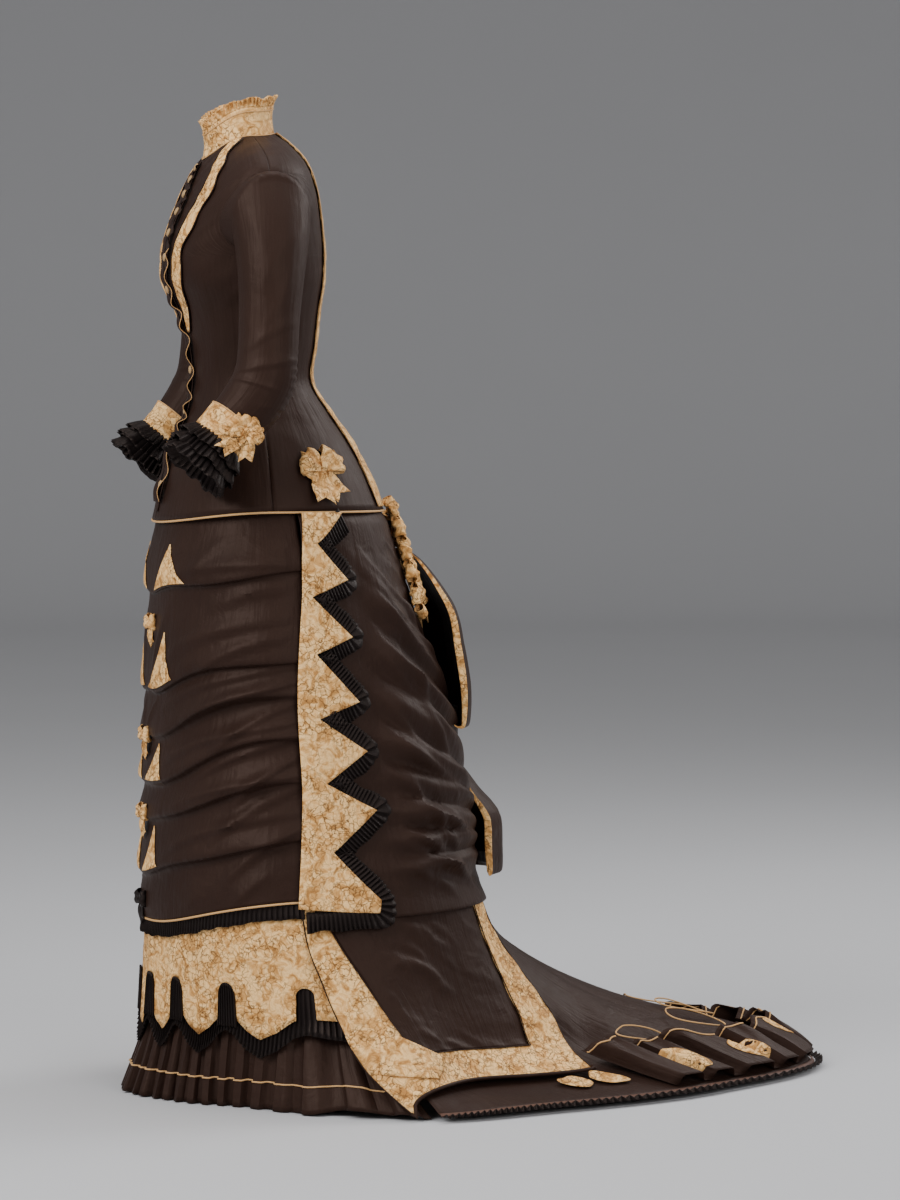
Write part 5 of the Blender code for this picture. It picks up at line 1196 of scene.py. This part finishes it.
def sidePoint(across, down):
    # a place on the panel; its lower edge rises steeply behind its front corner
    across, down = np.broadcast_arrays(np.asarray(across, float), np.asarray(down, float))
    columns = splineAt(sideTable[:, 0], sideTable[:, 1:], down)
    angle = columns[..., 0] + across * (columns[..., 2] - columns[..., 0])
    height = columns[..., 1] + across * (columns[..., 3] - columns[..., 1])
    return angle, height + sidePanel["hemRise"] * across ** 0.35 * (1 - across) ** 1.5 * down ** 2


def borderFront(down):
    # the front border is narrow at the hip and widens to the floor
    return sidePanel["borderTop"] + sidePanel["borderGrowth"] * down ** 0.6


def makeSidePanels():
    look = sidePanel
    down = np.linspace(0, look["bottom"] - 0.002, 48)[:, None]
    over = np.linspace(0, 1, 60)[None, :]
    front = borderFront(down) + 0.002
    across = front + over * (look["back"] - 0.002 - front)
    angle, height = sidePoint(across, down)
    # the border runs down the front, along the hem and up the back as one mitred strip
    t = np.linspace(0, 1, 60)
    corner = borderFront(look["bottom"])
    outer = np.concatenate([
        np.stack([0 * t, t], 1), np.stack([t, 0 * t + 1], 1)[1:], np.stack([0 * t + 1, 1 - t], 1)[1:]])
    inner = np.concatenate([
        np.stack([borderFront(t * look["bottom"]), t * look["bottom"]], 1),
        np.stack([corner + t * (look["back"] - corner), 0 * t + look["bottom"]], 1)[1:],
        np.stack([0 * t + look["back"], (1 - t) * look["bottom"]], 1)[1:]])
    share = np.linspace(0, 1, 12)[:, None, None]
    lines = outer * (1 - share) + inner * share
    borderAngle, borderHeight = sidePoint(lines[..., 0], lines[..., 1])
    u, v = np.linspace(0, 1, 14)[:, None], np.linspace(0, 1, 14)[None, :]
    top, bottom = ((1 - v[..., None]) * row[0] + v[..., None] * row[1] for row in look["flap"])
    flapPlace = (1 - u[..., None]) * top + u[..., None] * bottom
    for side, which in sides:
        folds = creases(angle, height, scattered(100 + side, 44, (108, 158), (0.08, 0.27), 13.0, -0.040, 0.0036, 0.008),
                        0.0052, 1.0)
        held = np.sin(np.pi * over) ** 0.5
        points = flipped(onForm(skirt, angle, height, look["lift"] - 0.0008 + np.maximum(folds, -0.001) * held), side)
        cloth(f"side_panel_{which}_silk", points, brownSilk, [f"side_panel_{which}"],
              look["wall"])
        ripple = 0.0009 * wander(borderHeight * 22 + borderAngle / 12, 110 + side)
        points = flipped(onForm(skirt, borderAngle, borderHeight, look["lift"] + 0.0006 + ripple), side)
        flapLift = look["lift"] + 0.0026 + 0.0012 * u * v
        flap = flipped(onForm(skirt, flapPlace[..., 0], flapPlace[..., 1], flapLift), side)
        cloth(f"side_border_{which}_brocade", [points, flap], tanBrocade, [f"side_border_{which}"],
              look["wall"], creaseAngle=60.0)
        # a brown fold edges the hem, and thin cords the rest
        hem = slice(58, 120)
        fold = flipped(onForm(skirt, borderAngle[0, hem], np.maximum(borderHeight[0, hem], look["hemFold"] + 0.001),
                              look["lift"] + 0.0008), side)
        edge = flipped(onForm(skirt, borderAngle[0], borderHeight[0] + 0.0006, look["lift"] + 0.0006), side)
        seam = flipped(onForm(skirt, borderAngle[-1], borderHeight[-1], look["lift"] + 0.0014), side)
        trim(f"side_border_{which}_cords", [cordAlong(fold, look["hemFold"], 8), cordAlong(edge, 0.0009, 6),
                                            cordAlong(seam, 0.0008, 6)], brownSilk)
    print("lower side panels")


# train

train = {
    "start": 118.0, "lift": -0.0033, "hemLift": 0.0023, "tuck": 0.0107, "wall": 0.0009, "flouncePleats": 11,
    "flounceDepth": 0.0185, "flounceSpan": 23.0, "ruffleWaves": 120, "ruffleDepth": 0.0030,
}
trainPulls = [
    [180, 0.26, 172, 0.08, 0.006, -0.0030, 0.012], [180, 0.22, 190, 0.07, -0.006, -0.0030, 0.012],
    [172, 0.16, 160, 0.05, 0.004, -0.0030, 0.014], [188, 0.16, 201, 0.05, -0.004, -0.0030, 0.014],
    [176, 0.10, 168, 0.04, 0.003, -0.0028, 0.012], [184, 0.10, 193, 0.04, 0.003, -0.0026, 0.012],
]


# columns: angle and height of the middle, half size in degrees and in height
trainLeaves = ((174.0, 0.080, 2.4, 0.013), (177.5, 0.090, 2.0, 0.012), (187.0, 0.082, 2.4, 0.013),
               (166.0, 0.072, 2.2, 0.010), (195.0, 0.070, 2.2, 0.010))
# columns: angle, place down the flounce, half size in degrees, half size down, on the flounce or on the train
trainPatches = ((169.5, 0.55, 1.5, 0.30, 1), (162.5, 0.60, 1.4, 0.28, 1), (177.0, 0.30, 1.3, 0.24, 1),
                (190.0, 0.55, 1.5, 0.30, 1), (198.0, 0.60, 1.4, 0.28, 1), (153.0, 0.62, 1.9, 0.16, 0),
                (148.5, 0.66, 1.9, 0.14, 0), (207.0, 0.62, 1.9, 0.16, 0))


def trainFlounce(angle, down):
    # box pleats that stand up from the train, highest and most uneven along their free upper edge
    span = train["flounceSpan"]
    phase = (angle - 180 + span) / (2 * span) * train["flouncePleats"] + 0.14 * wander(angle / 6, 121)
    box = ease(np.abs((phase % 1) - 0.5), 0.38, 0.26)
    height = 0.056 + 0.004 * wander(angle / 3, 122) * (1 - down) - 0.042 * down
    lift = 0.0047 - 0.003 * down + train["flounceDepth"] * box * (1.15 - 0.35 * down)
    return height, lift + 0.003 * wander(angle / 2.5 + down, 123) * box * (1 - down)


def makeTrain():
    look = train
    angle = np.linspace(look["start"], 360 - look["start"], 150)[None, :]
    height = np.concatenate([np.linspace(0.300, 0.12, 22), np.linspace(0.115, 0.0105, 34)])[:, None]
    fromBack = np.abs(angle - 180)
    under = look["tuck"] * ease(fromBack, 14, 30) * ease(height, 0.025, 0.050)
    ripple = np.minimum(creases(angle, height, trainPulls, 0.0080, 2.2), 0)
    unevenness = 0.0012 * (1 + wander(angle / 9 + height * 5, 120))
    ripple = ripple - unevenness * ease(height, 0.15, 0.06) * ease(fromBack, 32, 20)
    lift = look["lift"] + look["hemLift"] * ease(height, 0.030, 0.012) - under + ripple * ease(height, 0.012, 0.04)
    cloth("train_silk", onForm(skirt, angle, height, lift), brownSilk, ["train"],
          look["wall"])
    count = look["flouncePleats"]
    angle = np.linspace(180 - look["flounceSpan"], 180 + look["flounceSpan"], 20 * count)[None, :]
    down = np.linspace(0, 1, 14)[:, None]
    flounce = onForm(skirt, angle + 0 * down, *trainFlounce(angle, down))
    cloth("train_flounce_silk", flounce, brownSilk, ["train_flounce"], 0.0008,
          middle=True, creaseAngle=45.0)
    cords = [cordAlong(flounce[1] + np.array([0, 0, 0.0012]), 0.0012, 6)]
    # leaf-shaped loops of piping, and brocade patches that show through the pleats
    turn = np.linspace(0, 2 * np.pi, 40, endpoint=False)
    for middleAngle, middle, halfAngle, half in trainLeaves:
        leafAngle = middleAngle + halfAngle * np.sin(turn) * np.abs(np.sin(turn / 2)) ** 0.6
        leaf = onForm(skirt, leafAngle, middle + half * np.cos(turn), 0.0052 + 0.003 * np.sin(turn * 2))
        cords.append(cordAlong(leaf, 0.0012, 6, closed=True))
    trim("train_piping_loops", cords, tanPiping)
    patches = []
    for middleAngle, down, halfAngle, half, raised in trainPatches:
        ring, share = turn[None, :] * 40 / 39, np.linspace(0.02, 1, 6)[:, None]
        patchAngle = middleAngle + halfAngle * share * np.cos(ring)
        patchDown = np.clip(down + half * share * np.sin(ring), 0, 1)
        height, lift = trainFlounce(patchAngle, patchDown)
        patches.append(onForm(skirt, patchAngle, height, np.where(raised, lift + 0.0012, 0.0012)))
    cloth("train_patches_brocade", patches, tanBrocade, [], 0.0006,
          middle=True)
    angle = np.linspace(look["start"], 360 - look["start"], 200)[None, :]
    down = np.linspace(0, 1, 5)[:, None]
    points = onForm(skirt, angle, 0.0110 - 0.0045 * down, 0.0012 + 0.0010 * np.sin(np.pi * down))
    cloth("train_binding_cloth", points, rustCloth, ["train_binding"],
          0.0008)
    count = look["ruffleWaves"]
    angle = np.linspace(look["start"], 360 - look["start"], 6 * count)[None, :]
    wave = np.sin(np.arange(6 * count) * np.pi / 3 + 0.7 * wander(angle[0] / 3, 124))[None, :]
    down = np.linspace(0, 1, 5)[:, None]
    lift = 0.0028 + 0.0085 * down + look["ruffleDepth"] * wave * (0.25 + 0.75 * down)
    points = onForm(skirt, angle + 0 * down, 0.0064 - 0.0038 * down ** 0.7 + 0.0010 * wave * down, lift)
    cloth("hem_ruffle_silk", points, blackSilk, ["hem_ruffle"],
          0.0005, middle=True)
    print("train, flounce, binding and ruffle")


# back ornament and sash loops

sash = {
    "upper": np.array([
        # distance back, height, half width
        [0.2392, 0.776, 0.030], [0.262, 0.757, 0.050], [0.290, 0.722, 0.070], [0.312, 0.685, 0.084],
        [0.322, 0.637, 0.092], [0.329, 0.594, 0.095], [0.331, 0.560, 0.095], [0.328, 0.525, 0.093]]),
    "lower": np.array([
        [0.319, 0.462, 0.050], [0.343, 0.428, 0.070], [0.364, 0.405, 0.082], [0.376, 0.384, 0.085],
        [0.378, 0.345, 0.085], [0.378, 0.310, 0.083]]),
    "turns": {"upper": ((0.008, -0.005), (0.015, 0.002), (0.018, 0.022)),
              "lower": ((0.007, -0.005), (0.012, 0.002), (0.014, 0.018))},
    "bow": 0.30, "wall": 0.0012, "facing": 0.0095,
}


def makeSash(which, seed):
    # a hanging loop: its profile carried across, bowed back at the sides, with soft lengthwise folds
    profile, turns = sash[which], sash["turns"][which]
    end = profile[-1]
    rows = np.concatenate([profile, [[end[0] - inward, end[1] + rise, end[2]] for inward, rise in turns]])
    rows = splineAt(np.arange(len(rows)), rows, np.linspace(0, len(rows) - 1, 70))
    across = np.linspace(-1, 1, 60)[None, :]
    share = np.linspace(0, 1, 70)[:, None]
    x = rows[:, 2:] * across
    fold = 0.0045 * wander(across * 1.1 + share * 0.4, seed) * np.sin(np.pi * np.clip(share * 1.15, 0, 1)) ** 0.5
    y = rows[:, :1] - sash["bow"] * rows[:, 2:] * across ** 2 - np.maximum(fold, -0.003)
    points = np.stack([x, y, rows[:, 1:2] + 0 * x], -1)
    return points


def makeBack():
    for which, seed in (("upper", 130), ("lower", 131)):
        points = makeSash(which, seed)
        # the inside faces of each loop are black silk: painted shade, where the inside of the hanging loop lies in
        # shadow
        cloth(f"sash_{which}_silk", points, brownSilk, [f"sash_loop_{which}"],
              sash["wall"], inner=blackSilk,
              centre=np.array([0, points[..., 1].min() - 0.05, points[..., 2].mean() - holdHeight]))
        # a tan facing shows along both side edges
        strips = []
        for column, inward in ((0, 1), (-1, -1)):
            edge = points[:62, column]
            along = np.gradient(edge, axis=0)
            turned = np.stack([0 * along[:, 0], along[:, 2], -along[:, 1]], 1)
            turned /= np.linalg.norm(turned, axis=1, keepdims=True)
            narrow = 0.15 + 0.85 * np.sin(np.pi * np.linspace(0.02, 0.98, len(edge))) ** 1.6
            width = np.linspace(-0.05, 1, 6)[None, :, None] * sash["facing"] * narrow[:, None, None]
            strips.append(edge[:, None] + width * (turned[:, None] + np.array([0.35 * inward, 0, 0]))
                          - np.array([0.0012 * inward, 0, 0]))
        cloth(f"sash_{which}_facing", strips, tanBrocade, [], 0.0006,
              middle=True)
    # the ornament: a cascade of crumpled ribbon loops down the cloth
    rng = np.random.default_rng(140)
    tan, black = [], []
    for step in range(9):
        share = step / 8
        angle = 176 - 10 * share + (4.5 if step % 2 else -4.5)
        height = 0.826 - 0.128 * share
        place = onForm(skirt, angle, height, 0.0105)
        out = outwards(skirt, angle, height)
        up = np.array([0, 0, 1.0]) - out * out[2]
        loops = [(lean + rng.uniform(-12, 12), 0.024, 0.0135, 150 + step * 3 + k)
                 for k, lean in enumerate((25, 155, -70 if step % 2 else -115))]
        tan += bowGrids(place, out, up, loops, [], 0, 0.013)
        if step % 3 == 1:
            black += bowGrids(place - out * 0.002, out, up, [(-15, 0.026, 0.010, 170 + step)], [], 0, 0.008)
    tan += bowGrids(onForm(skirt, 168.0, 0.715, 0.0105), outwards(skirt, 168.0, 0.715), (0, 0, 1), [],
                    [(-84, 0.050, 0.013, 180), (-104, 0.044, 0.012, 181)], 0, 0.012)
    cloth("back_ornament_ribbon", tan, tanBrocade, ["back_ornament"],
          0.0006, middle=True)
    cloth("back_ornament_black", black, blackSilk, [], 0.0006,
          middle=True)
    print("sash loops and back ornament")


makeBodice()
makeBodiceTrims()
makeFrontClosing()
makeCollar()
makeSleeves()
makeBows()
makeApron()
makeInsets()
makeUnderskirt()
makeHipPanels()
makeDrapery()
makeSidePanels()
makeTrain()
makeBack()


# floor, light and camera

studio = {
    "floor": (0.50, 0.50, 0.515), "floorNear": 14.0, "halfWidth": 16, "wallDistance": 12.0, "wallBend": 3.0,
    "wallTop": 12.0, "axisColumn": 245.0, "horizonRow": 394.0, "focalPixels": 4167.0, "sensor": 36.0,
    "distance": 6.0, "cameraHeight": 1.0, "azimuth": 78.0, "width": 900, "height": 1200, "world": 0.40,
}


def makeStudio():
    look = studio
    turn = np.radians(look["azimuth"])
    toCamera = np.array([np.sin(turn), -np.cos(turn), 0])
    right = np.array([np.cos(turn), np.sin(turn), 0])
    # the backdrop is the floor, bent up into a wall behind the dress
    bend = np.linspace(0, np.pi / 2, 20)
    profile = np.concatenate([
        [[look["floorNear"], 0.0]],
        np.stack([-look["wallDistance"] - look["wallBend"] * np.sin(bend), look["wallBend"] * (1 - np.cos(bend))], 1),
        [[-look["wallDistance"] - look["wallBend"], look["wallTop"]]]])
    across = np.linspace(-look["halfWidth"], look["halfWidth"], 3)
    points = (profile[:, :1, None] * toCamera + profile[:, 1:, None] * np.array([0, 0, 1.0])
              + across[None, :, None] * right)
    mesh = joinedMesh("backdrop", [points], creaseAngle=0)
    floor = bpy.data.objects.new("backdrop", mesh)
    mix = Recipe("pale_backdrop")
    shade = mix.noise(mix.object, 1.3, 2.0)
    colour = mix.blend(shade, (*(c * 0.97 for c in look["floor"]), 1), (*look["floor"], 1))
    mesh.materials.append(mix.finish(Base_Color=colour, Roughness=0.9))
    bpy.context.scene.collection.objects.link(floor)

    def light(name, where, size, power, tint=(1, 1, 1), target=(0.0, 0.1, -0.65)):
        data = bpy.data.lights.new(name, "AREA")
        data.shape, data.size, data.size_y, data.energy, data.color = "RECTANGLE", size[0], size[1], power, tint
        lamp = bpy.data.objects.new(name, data)
        lamp.location = toCamera * where[0] + right * where[1] + np.array([0, 0, where[2]])
        aim = np.array(target) - np.array(lamp.location)
        lamp.rotation_euler = Vector(aim).to_track_quat("-Z", "Y").to_euler()
        bpy.context.scene.collection.objects.link(lamp)

    light("key", (2.8, -3.0, 2.0), (2.6, 2.6), 220)
    light("fill", (4.0, 2.6, 0.9), (2.8, 2.4), 80)
    light("back_glow", (-1.6, 3.0, 1.5), (1.8, 2.4), 80)
    light("top", (0.2, 0.4, 2.6), (2.6, 2.6), 60)
    world = bpy.data.worlds.new("studio_air")
    world.use_nodes = True
    world.node_tree.nodes["Background"].inputs["Color"].default_value = (1, 1, 1, 1)
    world.node_tree.nodes["Background"].inputs["Strength"].default_value = look["world"]
    bpy.context.scene.world = world

    # the camera looks along the ray through the picture's middle, so it needs no shift
    data = bpy.data.cameras.new("camera")
    data.sensor_fit, data.sensor_height = "VERTICAL", look["sensor"]
    data.lens = look["focalPixels"] * look["sensor"] / look["height"]
    camera = bpy.data.objects.new("camera", data)
    camera.location = toCamera * look["distance"] + np.array([0, 0, look["cameraHeight"] - holdHeight])
    ray = (-toCamera + right * (look["width"] / 2 - look["axisColumn"]) / look["focalPixels"]
           - np.array([0, 0, 1.0]) * (look["height"] / 2 - look["horizonRow"]) / look["focalPixels"])
    camera.rotation_euler = Vector(ray).to_track_quat("-Z", "Y").to_euler()
    bpy.context.scene.collection.objects.link(camera)
    bpy.context.scene.camera = camera
    print("studio and camera")


makeStudio()

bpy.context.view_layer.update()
for name, (wide, long, area) in flatSizes.items():
    print(f"flat {name}: {wide:.3f} x {long:.3f} m, {area:.4f} m2")
